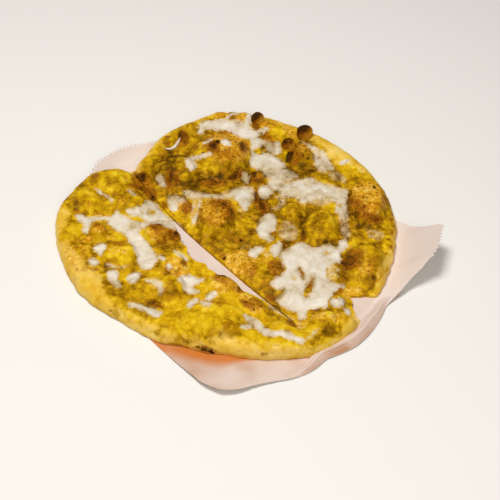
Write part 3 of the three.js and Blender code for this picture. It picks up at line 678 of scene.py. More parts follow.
# The outer edge of the pleats, and their section: distances in from it, heights, and how tan the
# paper is painted there, as painted shade in the creases and on the faces turned down.
PLEAT_EDGE = [
    (45.5, -145.5), (56, -141), (63, -136), (70, -129), (80, -124), (90, -118), (99, -109),
    (106, -99), (111.5, -89), (115, -81), (119.5, -76), (126, -70),
]
PLEAT_SECTION = [
    (0, 0.3, 0.9), (1.4, 1.4, 1.0), (2.6, 2.0, 0.9), (3.1, 2.8, 0.45), (3.6, 2.3, 1.0),
    (4.4, 3.1, 0.65), (6.0, 3.9, 0.3), (7.2, 3.6, 0.45), (7.8, 3.0, 0.9), (8.5, 3.1, 0.3),
    (10.2, 2.0, 0.1), (12.0, 0.3, 0.0),
]
PLEAT_STEPS = 90
PLEAT_ROWS = 48
PLEAT_THICKNESS = 0.25
PLEAT_BASE = 0.6

# Colours, as linear red, green and blue.
CHUTNEY_SHADES = [
    (0.0, (0.075, 0.030, 0.001)), (0.2, (0.19, 0.088, 0.001)), (0.4, (0.37, 0.19, 0.002)),
    (0.6, (0.575, 0.325, 0.003)), (0.8, (0.71, 0.455, 0.006)), (1.0, (0.81, 0.575, 0.025)),
]
DOUGH_SHADES = [
    (0.2, (0.68, 0.38, 0.014)), (0.5, (0.81, 0.525, 0.07)), (0.8, (0.87, 0.63, 0.18)),
]
PRESSED_SHADES = [
    (0.25, (0.22, 0.10, 0.03)), (0.5, (0.44, 0.25, 0.13)), (0.8, (0.62, 0.42, 0.30)),
]
GOLDEN_SHADES = [
    (0.12, (0.27, 0.09, 0.002)), (0.34, (0.53, 0.22, 0.007)), (0.56, (0.71, 0.38, 0.026)),
    (0.8, (0.84, 0.56, 0.12)),
]
TOASTED_SHADES = [
    (0.2, (0.085, 0.021, 0.001)), (0.45, (0.235, 0.065, 0.002)), (0.75, (0.46, 0.178, 0.006)),
]
CHEESE_SHADES = [
    (0.1, (0.48, 0.36, 0.18)), (0.35, (0.63, 0.53, 0.38)), (0.6, (0.71, 0.64, 0.53)),
    (0.9, (0.81, 0.755, 0.67)),
]
BURNT_AND_SHADOW = (0.030, 0.009, 0.001)
FRECKLE = (0.13, 0.045, 0.001)
CHEESE_WHITE = (0.84, 0.79, 0.70)
PAPER_WHITE = (0.76, 0.65, 0.59)
# Painted shadow and bounce light from the bread, on the paper under its front rim.
PAPER_WARM_SHADE = (0.56, 0.165, 0.016)
PAPER_TAN = (0.48, 0.25, 0.13)
CUT_CRUMB = ((0.30, 0.13, 0.04), (0.60, 0.36, 0.14))
# The torn crumb is pale, and painted paler than the cut crumb as painted light on its wall, which
# lies in shade.
TORN_CRUMB = ((0.72, 0.42, 0.08), (0.90, 0.64, 0.24))
FLOOR_PALE = (0.82, 0.80, 0.77)


# Plan curves and fields


def smooth_line(points, samples, closed=False):
    """Evenly spaced places along the smooth curve through some plan points."""
    at = np.array(points, float)
    if closed:
        at = np.vstack([at[-1], at, at[0], at[1]])
    else:
        at = np.vstack([2 * at[0] - at[1], at, 2 * at[-1] - at[-2]])
    share = np.linspace(0, 1, SPAN_STEPS, endpoint=False)[:, None]
    spans = []
    for before, start, end, after in zip(at, at[1:], at[2:], at[3:]):
        first = np.linalg.norm(start - before) ** 0.5
        here = np.linalg.norm(end - start) ** 0.5
        last = np.linalg.norm(after - end) ** 0.5
        leaving = (start - before) / first - (end - before) / (first + here) + (end - start) / here
        coming = (end - start) / here - (after - start) / (here + last) + (after - end) / last
        leaving = leaving * here
        coming = coming * here
        square = 3 * (end - start) - 2 * leaving - coming
        cube = 2 * (start - end) + leaving + coming
        spans.append(start + share * leaving + share**2 * square + share**3 * cube)
    fine = np.vstack(spans + [at[-2]])
    return resampled(fine, samples)


def resampled(line, samples):
    """The same line as evenly spaced places."""
    steps = np.linalg.norm(np.diff(line, axis=0), axis=1)
    length = np.concatenate([[0], np.cumsum(steps)])
    wanted = np.linspace(0, length[-1], samples + 1)
    return np.stack([np.interp(wanted, length, line[:, i]) for i in range(2)], axis=1)


def line_length(line):
    return float(np.linalg.norm(np.diff(line, axis=0), axis=1).sum())


def directions(line):
    """Unit steps along a line, one for each of its places."""
    along = np.gradient(line, axis=0)
    return along / np.linalg.norm(along, axis=1)[:, None]


def value_at(place, pairs):
    return np.interp(place, [p for p, _ in pairs], [v for _, v in pairs])


def smoothstep(value, low, high):
    t = np.clip((value - low) / (high - low), 0, 1)
    return t * t * (3 - 2 * t)


def to_segment(x, y, start, end):
    """Distance in plan to a segment, and the share along it."""
    dx, dy = end[0] - start[0], end[1] - start[1]
    share = ((x - start[0]) * dx + (y - start[1]) * dy) / (dx * dx + dy * dy + 1e-9)
    share = np.clip(share, 0, 1)
    return np.hypot(x - start[0] - share * dx, y - start[1] - share * dy), share


def to_line(x, y, line):
    nearest = np.full(x.shape, 1e9)
    for start, end in zip(line, line[1:]):
        nearest = np.minimum(nearest, to_segment(x, y, start, end)[0])
    return nearest


def uneven(x, y, width, seed):
    """Smooth random waves of about the given width, from -1 to 1."""
    return np.array(
        [noise.noise(Vector((a / width, b / width, seed * SEED_STEP))) for a, b in zip(x, y)]
    )


rim_line = smooth_line(
    [(r * math.cos(math.radians(a)), r * math.sin(math.radians(a))) for a, r in RIM],
    RIM_SAMPLES,
    closed=True,
)
rim_bearings = np.arctan2(rim_line[:, 1], rim_line[:, 0])
rim_order = np.argsort(rim_bearings)
rim_bearings = rim_bearings[rim_order]
rim_radii = np.hypot(rim_line[:, 0], rim_line[:, 1])
rim_radii += RIM_WAVES * uneven(rim_line[:, 0], rim_line[:, 1], 17, 31)
rim_radii += 0.5 * RIM_WAVES * uneven(rim_line[:, 0], rim_line[:, 1], 6, 32)
rim_radii = rim_radii[rim_order]


def rim_radius(bearing):
    return np.interp(bearing, rim_bearings, rim_radii, period=2 * math.pi)


def inside_rim(x, y):
    return rim_radius(np.arctan2(y, x)) - np.hypot(x, y)


def dome(q):
    """A plump dome with a soft foot: 1 in the middle, 0 from a little outside its edge."""
    s = np.maximum(0, 1 - (q / 1.12) ** 2)
    return s / (s + 0.5 * (1 - s) + 1e-9) * smoothstep(-q, -1.12, -0.62)


# Where things are in the photograph


def photo_place(x, y, z):
    """Where the photograph shows a place of the part."""
    right = x - CAMERA_PLACE[0]
    back = y - CAMERA_PLACE[1]
    up = z - CAMERA_PLACE[2]
    depth = (back - up) * TILT_SHARE
    height = (back + up) * TILT_SHARE
    return PHOTO_MIDDLE + FOCAL * right / depth, PHOTO_MIDDLE - FOCAL * height / depth


def patch_depth(across, down, outline):
    """How far inside a closed outline each place is, in pixels; negative outside it."""
    outline = smooth_line(outline, len(outline) * 4, closed=True)
    depth = np.full(across.shape, -OUTSIDE_LIMIT)
    low = outline.min(axis=0) - OUTSIDE_LIMIT
    high = outline.max(axis=0) + OUTSIDE_LIMIT
    near = (across > low[0]) & (across < high[0]) & (down > low[1]) & (down < high[1])
    x = across[near]
    y = down[near]
    away = np.full(x.shape, 1e9)
    within = np.zeros(x.shape, bool)
    for start, end in zip(outline, outline[1:]):
        away = np.minimum(away, to_segment(x, y, start, end)[0])
        crosses = (start[1] > y) != (end[1] > y)
        at = start[0] + (y - start[1]) * (end[0] - start[0]) / (end[1] - start[1] + 1e-12)
        within ^= crosses & (x < at)
    depth[near] = np.maximum(np.where(within, away, -away), -OUTSIDE_LIMIT)
    return depth


def strand_depth(across, down, points):
    """The same for a strand: points with half widths."""
    depth = np.full(across.shape, -OUTSIDE_LIMIT)
    for start, end in zip(points, points[1:]):
        away, share = to_segment(across, down, start, end)
        depth = np.maximum(depth, start[2] + (end[2] - start[2]) * share - away)
    return depth


def spot(across, down, x, y, wide, high, turn=0):
    """1 in the middle of an oval, 0 at its edge, negative outside it."""
    c = math.cos(math.radians(turn))
    s = math.sin(math.radians(turn))
    u = ((across - x) * c + (down - y) * s) / wide
    v = ((down - y) * c - (across - x) * s) / high
    return 1 - np.hypot(u, v)


def deepest(depths):
    return np.maximum.reduce(list(depths))


def cheese_depth(across, down):
    patches = [patch_depth(across, down, p) for p in CHEESE_PATCHES.values()]
    strands = [strand_depth(across, down, s) for s in CHEESE_STRANDS.values()]
    depth = deepest(patches + strands)
    for hole in CHEESE_HOLES.values():
        depth = np.minimum(depth, -spot(across, down, *hole) * min(hole[2], hole[3]))
    return depth


def chunk_depth(across, down):
    return deepest(patch_depth(across, down, p) for p in CHEESE_CHUNKS.values())


def film_depth(across, down):
    films = deepest(patch_depth(across, down, p) for p in CHEESE_FILMS.values())
    traces = deepest(patch_depth(across, down, p) for p in CHEESE_TRACES.values())
    return np.maximum(films, np.minimum(traces, TRACE_LIMIT) - TRACE_THINNER)


# Marks that follow a depth, and over how many pixels each fades at its edge.
DEPTH_MARKS = (("cheese", cheese_depth, 8), ("film", film_depth, 8), ("chunk", chunk_depth, 5))


def strongest(across, down, spots):
    """How strongly any of the listed spots marks each place, from 0 to 1."""
    mark = np.zeros(across.shape)
    for strength, places in spots.items():
        for place in places:
            inside = spot(across, down, *place)
            mark = np.maximum(mark, strength * smoothstep(inside, -0.5, 0.45))
    return mark


# Bread surface

cut_line = smooth_line(CUT_POINTS, CUT_STEPS)
torn_line = [NOTCH_POINTS[-1], NOTCH_POINTS[0], NOTCH_POINTS[1]]


def crust_height(x, y):
    inside = np.maximum(0, inside_rim(x, y))
    facing = np.cos(np.arctan2(y, x) - CREST_FRONT_BEARING)
    crest = CREST_TOP + CREST_FRONT_EXTRA * np.maximum(0, facing)
    t = np.clip(1 - inside / CREST_INSET, 0, 1)
    outer = RIM_EDGE_TOP + (crest - RIM_EDGE_TOP) * np.sqrt(1 - t * t)
    inner = crest + (CRUMB_TOP - crest) * smoothstep(inside, CREST_INSET, RIM_WIDTH)
    return np.where(inside < CREST_INSET, outer, inner)


def blister_height(x, y):
    """How far the blisters rise over the crumb, each running smoothly into the next."""
    total = np.zeros(x.shape)
    x, y = x + BLISTER_SWAY * uneven(x, y, 11, 14), y + BLISTER_SWAY * uneven(x, y, 11, 15)
    for at_x, at_y, half_x, half_y, rise in BLISTERS:
        q = np.hypot((x - at_x) / half_x, (y - at_y) / half_y)
        total += (rise * dome(q)) ** 4
    return total**0.25


def undulation(x, y):
    waves = np.sin(x / 11 + 1.3) * np.sin(y / 13) + np.sin((x + y) / 17 + 0.4)
    return UNDULATION * waves


def pinch(x, y):
    """1 on the open surface, 0 where the cutter pressed the crumb thin."""
    to_cut = np.minimum(to_line(x, y, cut_line), to_line(x, y, torn_line))
    return smoothstep(to_cut, 0, CUT_PINCH)


def beyond(x, y, margin):
    """1 on the far side of the cut, 0 on its near side."""
    start = CUT_POINTS[0]
    past = (x - start[0]) * CUT_FACING[0] + (y - start[1]) * CUT_FACING[1]
    return smoothstep(past - margin, -1.5, 1.5)


def cut_top(x, y):
    """How high the pressed crumb is: the far half stands higher, most of all by the cleft."""
    far = beyond(x, y, 1.0)
    by_cleft = smoothstep(-x, 36, 56)
    pressed = CUT_TOP_NEAR + (CUT_TOP_FAR - CUT_TOP_NEAR + CLEFT_LIFT * by_cleft) * far
    return np.where(x > TORN_FROM, TORN_TOP, pressed)


def baked_top(x, y):
    """The bread's top without cheese, with the small lumps of baked dough."""
    blisters = blister_height(x, y)
    lumps = sum(high * uneven(x, y, wide, seed) for high, wide, seed in LUMPS)
    calm = smoothstep(inside_rim(x, y), 2, 26)
    baked = crust_height(x, y) + blisters + undulation(x, y) + lumps * (0.35 + 0.65 * calm)
    near = pinch(x, y)
    pressed = cut_top(x, y)
    return pressed + (baked - pressed) * near + 0.25 * lumps * (1 - near)


def hollow(x, y):
    """How far each place lies below what is round it, in millimetres."""
    height = crust_height(x, y) + blister_height(x, y)
    ring = [
        (HOLLOW_REACH * math.cos(turn), HOLLOW_REACH * math.sin(turn))
        for turn in np.arange(8) * math.pi / 4
    ]
    round_it = [crust_height(x + i, y + j) + blister_height(x + i, y + j) for i, j in ring]
    return sum(round_it) / len(ring) - height


def cheese_relief(across, down, x, y):
    """How far the cheese stands out over the dough."""
    melted = cheese_depth(across, down) + 0.8 * uneven(x, y, 3, 5)
    chunks = chunk_depth(across, down)
    film = film_depth(across, down)
    grain = CHEESE_GRAIN * uneven(x, y, 2.0, 6)
    relief = CHEESE_RELIEF * smoothstep(melted, -1.2, 3.2) * (1 + grain)
    relief = np.maximum(relief, CHUNK_RELIEF * smoothstep(chunks, -1.0, 1.8))
    return np.maximum(relief, FILM_RELIEF * smoothstep(film, -1, 2) * (1 + 2 * grain))


def bread_top(x, y):
    baked = baked_top(x, y)
    across, down = photo_place(x, y, baked + CHEESE_LEVEL)
    return baked + cheese_relief(across, down, x, y) * (0.45 + 0.55 * pinch(x, y))


def onto_bread(pixels):
    """The places on the bread's top that the photograph shows at some pixels."""
    across, down = np.array(pixels, float).T
    tan = (PHOTO_MIDDLE - down) / FOCAL
    height = np.full(across.shape, 9.0)
    for _ in range(12):
        up = height - CAMERA_PLACE[2]
        back = -up * (1 + tan) / (1 - tan)
        depth = (back - up) * TILT_SHARE
        x = CAMERA_PLACE[0] + (across - PHOTO_MIDDLE) * depth / FOCAL
        y = CAMERA_PLACE[1] + back
        height = 0.4 * height + 0.6 * bread_top(x, y)
    return np.stack([x, y, height], axis=1)


# Meshes


def in_scene(name, data):
    """A new object in the scene, made from its mesh, lamp or camera."""
    thing = bpy.data.objects.new(name, data)
    bpy.context.scene.collection.objects.link(thing)
    return thing


def object_of(name, bm, finishes):
    """A finished bmesh as an object with its finishes."""
    mesh = bpy.data.meshes.new(name)
    bm.to_mesh(mesh)
    bm.free()
    for finish in finishes:
        mesh.materials.append(finish)
    return in_scene(name, mesh)


def places_of(mesh):
    flat = np.empty(len(mesh.vertices) * 3)
    mesh.vertices.foreach_get("co", flat)
    return flat.reshape(-1, 3)


def move_places(mesh, places):
    mesh.vertices.foreach_set("co", np.ascontiguousarray(places, float).ravel())
    mesh.update()


def note(mesh, name, values):
    """Keeps one number at every vertex for the finish to read."""
    layer = mesh.attributes.new(name, "FLOAT", "POINT")
    layer.data.foreach_set("value", np.ascontiguousarray(values, np.float32))


def settle_mesh(piece):
    """Works the piece's modifiers into its mesh."""
    graph = bpy.context.evaluated_depsgraph_get()
    mesh = bpy.data.meshes.new_from_object(piece.evaluated_get(graph))
    piece.modifiers.clear()
    piece.data = mesh


def in_metres(piece):
    piece.data.transform(Matrix.Scale(MM, 4))


def upright_block(name, outline, low, high, finishes):
    """A block standing on a plan outline."""
    bm = bmesh.new()
    corners = [bm.verts.new((x, y, low)) for x, y in outline]
    floor = bm.faces.new(corners)
    floor.normal_update()
    raised = bmesh.ops.extrude_face_region(bm, geom=[floor])
    tops = [v for v in raised["geom"] if isinstance(v, bmesh.types.BMVert)]
    bmesh.ops.translate(bm, verts=tops, vec=(0, 0, high - low))
    bmesh.ops.recalc_face_normals(bm, faces=bm.faces)
    bmesh.ops.scale(bm, verts=bm.verts, vec=(MM, MM, MM))
    return object_of(name, bm, finishes)


def combine(piece, other, operation):
    """Cuts a block out of the piece, or keeps only what lies in it."""
    tool = piece.modifiers.new("combine", "BOOLEAN")
    tool.operation = operation
    tool.solver = "MANIFOLD"
    tool.object = other
    settle_mesh(piece)
    bpy.data.objects.remove(other)


def thicken(piece, thickness, offset):
    wall = piece.modifiers.new("thickness", "SOLIDIFY")
    wall.thickness = thickness * MM
    wall.offset = offset
    settle_mesh(piece)


def smooth_shaded(piece, sharp_above):
    piece.data.shade_smooth()
    piece.data.set_sharp_from_angle(angle=math.radians(sharp_above))


# Finishes


class Finish:
    """A material while its nodes are laid out and joined."""

    def __init__(self, name):
        self.material = bpy.data.materials.new(name)
        self.material.use_nodes = True
        self.tree = self.material.node_tree
        self.surface = self.tree.nodes["Principled BSDF"]
        self.place = self.add("ShaderNodeTexCoord").outputs["Object"]

    def add(self, kind, inputs=None, **settings):
        node = self.tree.nodes.new(kind)
        for key, value in settings.items():
            setattr(node, key, value)
        for key, value in (inputs or {}).items():
            self.feed(node.inputs[key], value)
        return node

    def feed(self, socket, value):
        if isinstance(value, bpy.types.NodeSocket):
            self.tree.links.new(value, socket)
        elif socket.type == "RGBA":
            socket.default_value = (*value, 1)
        else:
            socket.default_value = value

    def set(self, **inputs):
        for key, value in inputs.items():
            self.feed(self.surface.inputs[key.replace("_", " ")], value)

    def mark(self, name):
        return self.add("ShaderNodeAttribute", attribute_name=name).outputs["Fac"]

    def grain(self, width, detail=3.0, rough=0.55, warp=0.0):
        """Noise whose patches are about the given number of millimetres wide."""
        inputs = {"Vector": self.place, "Scale": 1000 / width, "Detail": detail,
                  "Roughness": rough, "Distortion": warp}
        waves = self.add("ShaderNodeTexNoise", inputs).outputs["Fac"]
        spread = {"Value": waves, "From Min": 0.3, "From Max": 0.7}
        return self.add("ShaderNodeMapRange", spread).outputs[0]

    def cobbles(self, width):
        """Small soft lumps crowded together: 1 on their tops and 0 in the gaps."""
        sway = self.add("ShaderNodeTexNoise", {"Vector": self.place, "Scale": 1000 / width})
        moved = self.add("ShaderNodeVectorMath", {0: sway.outputs["Color"],
                                                  1: (width * MM,) * 3, 2: self.place},
                         operation="MULTIPLY_ADD").outputs[0]
        inputs = {"Vector": moved, "Scale": 1000 / width, "Smoothness": 0.5}
        cells = self.add("ShaderNodeTexVoronoi", inputs, feature="SMOOTH_F1")
        return self.step(cells.outputs["Distance"], 0.62, 0.1)

    def flecks(self, width, size, share, seed=0.0):
        """Small round flecks on a share of places the given width apart."""
        moved = self.add("ShaderNodeVectorMath", {0: self.place, 1: (seed, seed * 1.7, seed)},
                         operation="ADD").outputs[0]
        cells = self.add("ShaderNodeTexVoronoi", {"Vector": moved, "Scale": 1000 / width})
        near = self.step(cells.outputs["Distance"], size * 1.25, size * 0.75)
        pick = self.add("ShaderNodeSeparateColor", {"Color": cells.outputs["Color"]})
        chosen = self.step(pick.outputs["Red"], 1 - share - 0.02, 1 - share + 0.02)
        return self.times(near, chosen)

    def step(self, value, low, high):
        """0 below low and 1 above high, or the other way round."""
        inputs = {"Value": value, "From Min": low, "From Max": high}
        return self.add("ShaderNodeMapRange", inputs, interpolation_type="SMOOTHSTEP").outputs[0]

    def sum(self, a, b, operation="ADD"):
        return self.add("ShaderNodeMath", {0: a, 1: b}, operation=operation).outputs[0]

    def times(self, a, b):
        return self.sum(a, b, "MULTIPLY")

    def nudged(self, mark, wobble, amount):
        """A mark moved up and down by noise, so that its edge wanders."""
        centred = self.add("ShaderNodeMath", {0: wobble, 1: amount, 2: -amount * 0.5},
                           operation="MULTIPLY_ADD").outputs[0]
        return self.sum(mark, centred)

    def mix_of(self, one, other, share):
        """One noise with a share of another in it."""
        return self.sum(self.times(one, 1 - share), self.times(other, share))

    def weighed(self, *parts, offset):
        """A sum of values, each times its own weight."""
        total = offset
        for value, weight in parts:
            total = self.add("ShaderNodeMath", {0: value, 1: weight, 2: total},
                             operation="MULTIPLY_ADD").outputs[0]
        return total

    def shades(self, value, stops):
        """A run of colours along a value, as pairs of place and colour."""
        ramp = self.add("ShaderNodeValToRGB", {"Fac": value})
        band = ramp.color_ramp.elements
        while len(band) < len(stops):
            band.new(1.0)
        for element, (place, colour) in zip(band, stops):
            element.position = place
            element.color = (*colour, 1)
        return ramp.outputs["Color"]

    def blend(self, share, under, over):
        node = self.add("ShaderNodeMix", data_type="RGBA", clamp_factor=True)
        self.feed(node.inputs[0], share)
        self.feed(node.inputs[6], under)
        self.feed(node.inputs[7], over)
        return node.outputs[2]

    def between(self, share, low, high):
        node = self.add("ShaderNodeMix", data_type="FLOAT", clamp_factor=True)
        self.feed(node.inputs[0], share)
        self.feed(node.inputs[2], low)
        self.feed(node.inputs[3], high)
        return node.outputs[0]

    def bump(self, height, strength, depth):
        inputs = {"Height": height, "Strength": strength, "Distance": depth * MM}
        self.set(Normal=self.add("ShaderNodeBump", inputs).outputs[0])


class BreadFinish(Finish):
    """Chutney, baked dough, burnt places with some painted shadow, and melted cheese, each where
    its mark says.
    """

    def __init__(self):
        super().__init__("naan_top")
        self.broad = self.grain(26, 2)
        self.medium = self.grain(10, 2, 0.5, 0.3)
        self.small = self.grain(4.6, 2, 0.5)
        self.fine = self.grain(1.8, 1)
        self.clumps = self.mix_of(self.medium, self.small, 0.5)
        self.mottle = self.mix_of(self.clumps, self.fine, 0.25)
        self.granules = self.grain(1.3, 1)
        self.lumps = self.cobbles(5.2)
        bare = self.weighed((self.mark("bare"), 1.0), (self.clumps, 0.9),
                            (self.mark("olive"), -0.5), offset=-0.45)
        self.bare = self.step(bare, 0.2, 0.95)
        colour = self.with_cheese(self.with_burns(self.baked_colour()))
        self.lay(colour)

    def baked_colour(self):
        """Chutney, bare dough, the crumb pressed by the cutter, and golden places."""
        # The hollow mark darkens the chutney in hollows round the blisters: painted shade, partly
        # also chutney gathered there.
        tone = self.weighed((self.mottle, 0.66), (self.granules, 0.12), (self.lumps, 0.26),
                            (self.broad, 0.22), (self.mark("far"), -0.13),
                            (self.mark("olive"), -0.38), (self.mark("bright"), 0.26),
                            (self.mark("hollow"), -0.16), offset=0.02)
        colour = self.shades(tone, CHUTNEY_SHADES)
        dough = self.weighed((self.clumps, 0.5), (self.broad, 0.5), (self.mark("bright"), 0.22),
                             offset=0.0)
        dough = self.shades(dough, DOUGH_SHADES)
        colour = self.blend(self.times(self.bare, 0.85), colour, dough)
        pressed = self.step(self.nudged(self.mark("pressed"), self.small, 0.5), 0.3, 0.8)
        colour = self.blend(self.times(pressed, 0.85), colour,
                            self.shades(self.mottle, PRESSED_SHADES))
        self.gold = self.step(self.nudged(self.mark("gold"), self.clumps, 0.9), 0.15, 0.7)
        baked = self.weighed((self.clumps, 0.62), (self.fine, 0.26), (self.cobbles(4.0), 0.3),
                             (self.mark("bright"), 0.2), (self.mark("olive"), -0.25),
                             (self.granules, 0.14), offset=-0.19)
        return self.blend(self.times(self.gold, 0.88), colour, self.shades(baked, GOLDEN_SHADES))

    def with_burns(self, colour):
        """Toasted and burnt places, some of them painted shadow, and small dark freckles among
        them.
        """
        freckled = self.mix_of(self.small, self.mix_of(self.fine, self.granules, 0.5), 0.5)
        brown = self.step(self.nudged(self.mark("brown"), freckled, 1.3), 0.12, 0.85)
        toast = self.weighed((self.mottle, 0.75), (self.granules, 0.3), offset=-0.03)
        colour = self.blend(self.times(brown, 0.9), colour, self.shades(toast, TOASTED_SHADES))
        # Burnt places here also lay painted shadow at the foot of a blister and beside a strand.
        self.burnt = self.step(self.nudged(self.mark("char"), freckled, 0.9), 0.35, 1.0)
        colour = self.blend(self.times(self.burnt, 0.95), colour, BURNT_AND_SHADOW)
        open_top = self.sum(1.0, self.bare, "SUBTRACT")
        crowd = self.weighed((self.gold, 0.55), (brown, 0.6), (open_top, 0.06), offset=0.0)
        pores = self.times(self.flecks(2.7, 0.34, 0.42, 0.011), crowd)
        colour = self.blend(self.times(pores, 0.85), colour, FRECKLE)
        specks = self.times(self.flecks(4.2, 0.19, 0.3, 0.031), crowd)
        return self.blend(self.times(specks, 0.95), colour, BURNT_AND_SHADOW)

    def with_cheese(self, colour):
        """Thin films, melted patches and chunks of cheese."""
        thick = self.step(self.mark("cheese"), 0.45, 1.0)
        body = self.weighed((self.medium, 0.35), (self.small, 0.3), (self.fine, 0.15),
                            (thick, 0.3), (self.mark("olive"), -0.35),
                            (self.mark("bright"), 0.2), offset=-0.08)
        milky = self.shades(body, CHEESE_SHADES)
        film_mark = self.mark("film")
        grains = self.weighed((self.medium, 0.35), (self.small, 0.3), (self.granules, 0.2),
                              (film_mark, 1.0), offset=-0.54)
        film = self.times(self.step(grains, 0.25, 0.9), self.step(film_mark, 0.25, 0.85))
        filmy = self.blend(self.times(self.granules, 0.4), milky, CHEESE_WHITE)
        colour = self.blend(self.times(film, 0.78), colour, filmy)
        edge = self.weighed((self.mark("cheese"), 1.0), (self.grain(7, 2), 0.36),
                            (self.small, 0.12), (self.fine, 0.1), offset=-0.29)
        cheese = self.step(edge, 0.34, 0.64)
        colour = self.blend(self.times(cheese, self.between(thick, 0.84, 0.96)), colour, milky)
        lump = self.nudged(self.mark("chunk"), self.mix_of(self.small, self.fine, 0.4), 0.4)
        chunk = self.step(lump, 0.3, 0.62)
        colour = self.blend(self.times(chunk, 0.9), colour, milky)
        colour = self.blend(self.times(self.step(lump, 0.6, 1.1), 0.7), colour, CHEESE_WHITE)
        self.covered = self.sum(cheese, chunk, "MAXIMUM")
        return colour

    def lay(self, colour):
        """Joins the colour to the surface, with its gloss, its glow and its fine grain."""
        rough = self.between(self.burnt, self.between(self.small, 0.4, 0.65), 0.8)
        self.set(Base_Color=colour, Roughness=self.between(self.covered, rough, 0.45))
        self.set(Subsurface_Weight=0.1, Subsurface_Radius=(0.6, 0.35, 0.15),
                 Subsurface_Scale=0.002)
        self.set(Specular_IOR_Level=0.04)
        grit = self.weighed((self.fine, 0.35), (self.small, 0.5), (self.lumps, 0.3), offset=0.0)
        grit = self.between(self.bare, grit, self.times(self.small, 0.3))
        self.bump(self.between(self.covered, grit, self.times(self.small, 0.4)), 0.45, 0.5)


def crumb_finish(name, dark, pale):
    """Crumb with an open grain, where the bread is cut or torn."""
    f = Finish(name)
    medium = f.grain(3.2, 3, 0.6)
    fine = f.grain(0.9, 2, 0.6)
    colour = f.blend(f.step(medium, 0.15, 0.85), dark, pale)
    colour = f.blend(f.times(f.step(fine, 0.6, 0.9), 0.6), colour, dark)
    f.set(Base_Color=colour, Roughness=f.between(fine, 0.55, 0.85))
    f.bump(f.sum(medium, fine), 0.7, 0.6)
    return f.material


def paper_finish():
    """Thin off-white paper with faint fibres, with painted shade: orange shadow and bounce light
    from the bread under its front rim, and tan shade.
    """
    f = Finish("greaseproof_paper")
    cloud = f.grain(30, 2)
    fibre = f.grain(1.2, 3, 0.7, 0.4)
    blots = f.grain(24, 1)
    tan = f.times(f.mark("tan"), f.between(f.step(blots, 0.0, 1.0), 0.6, 1.4))
    colour = f.blend(tan, PAPER_WHITE, PAPER_TAN)
    # Painted shadow and warm bounce light from the bread, under its front rim.
    warm_shade = f.times(f.mark("warm_shade"), f.between(cloud, 0.8, 1.1))
    colour = f.blend(warm_shade, colour, PAPER_WARM_SHADE)
    colour = f.blend(f.times(f.step(fibre, 0.5, 0.8), 0.12), colour, PAPER_TAN)
    f.set(Base_Color=colour, Roughness=f.between(fibre, 0.55, 0.75))
    f.set(Specular_IOR_Level=0.3)
    f.bump(f.sum(fibre, cloud), 0.25, 0.2)
    return f.material


# Pieces


def on_bread(u, v):
    """Rings of a square from -1 to 1 become rings of the bread."""
    wide = np.abs(u) > np.abs(v)
    reach = np.where(wide, u, v)
    safe = np.where(reach == 0, 1, reach)
    turn = np.where(wide, v / safe * (math.pi / 4), math.pi / 2 - u / safe * (math.pi / 4))
    bearing = turn + np.where(reach < 0, math.pi, 0) + GRID_TURN
    share = np.abs(reach)
    bearing = np.arctan2(np.sin(bearing), np.cos(bearing))
    radius = rim_radius(bearing) * share * (1.12 - 0.12 * share * share)
    return radius * np.cos(bearing), radius * np.sin(bearing)


def bread_grid():
    """A fine grid with its rim turned down in steps, each step one unit lower, and closed."""
    bm = bmesh.new()
    bmesh.ops.create_grid(bm, x_segments=BREAD_CELLS, y_segments=BREAD_CELLS, size=1)
    edges = [e for e in bm.edges if e.is_boundary]
    for _ in RIM_SECTION:
        lowered = bmesh.ops.extrude_edge_only(bm, edges=edges)["geom"]
        corners = [v for v in lowered if isinstance(v, bmesh.types.BMVert)]
        edges = [e for e in lowered if isinstance(e, bmesh.types.BMEdge)]
        edges = [e for e in edges if all(v in set(corners) for v in e.verts)]
        bmesh.ops.translate(bm, verts=corners, vec=(0, 0, -1))
    bmesh.ops.holes_fill(bm, edges=edges, sides=0)
    bmesh.ops.recalc_face_normals(bm, faces=bm.faces)
    return bm


def shape_bread(mesh):
    grid = places_of(mesh)
    x, y = on_bread(grid[:, 0], grid[:, 1])
    step = np.rint(-grid[:, 2]).astype(int)
    radius = np.hypot(x, y) + 1e-6
    out = np.array([0] + [o for o, _ in RIM_SECTION])[step]
    share = np.array([1] + [s for _, s in RIM_SECTION])[step]
    out = out + np.where((step > 0) & (step < 4), WALL_WAVES * uneven(x, y, 7, 8), 0)
    top = bread_top(x, y)
    z = NAAN_BOTTOM + (top - NAAN_BOTTOM) * share
    x, y = x * (1 + out / radius), y * (1 + out / radius)
    move_places(mesh, np.stack([x, y, z], axis=1) * MM)


def cut_outline():
    """The cut's outline: its ragged near side, and back along its clean far side."""
    far = smooth_line(CUT_POINTS, CUT_SAMPLES)
    along = directions(far)
    share = np.linspace(0, 1, CUT_SAMPLES + 1)
    steps = share * CUT_STEPS
    ragged = 1 + 0.1 * np.sin(steps * 1.3) + 0.06 * np.sin(steps * 2.9)
    torn = 0.5 * uneven(far[:, 0], far[:, 1], 2.5, 9) * smoothstep(share, 0.38, 0.5)
    gape = value_at(share, CUT_GAPES) * ragged + torn
    near = far + np.stack([along[:, 1], -along[:, 0]], axis=1) * gape[:, None]
    return [*near, *far[::-1]]


def tear_outline():
    """The torn-out piece's outline with small ragged waves."""
    sides = resampled(np.array([*NOTCH_POINTS, NOTCH_POINTS[0]], float), TEAR_SAMPLES)[:-1]
    waves = [TEAR_WAVES * uneven(sides[:, 0], sides[:, 1], 5, seed) for seed in (41, 42)]
    return sides + np.stack(waves, axis=1)


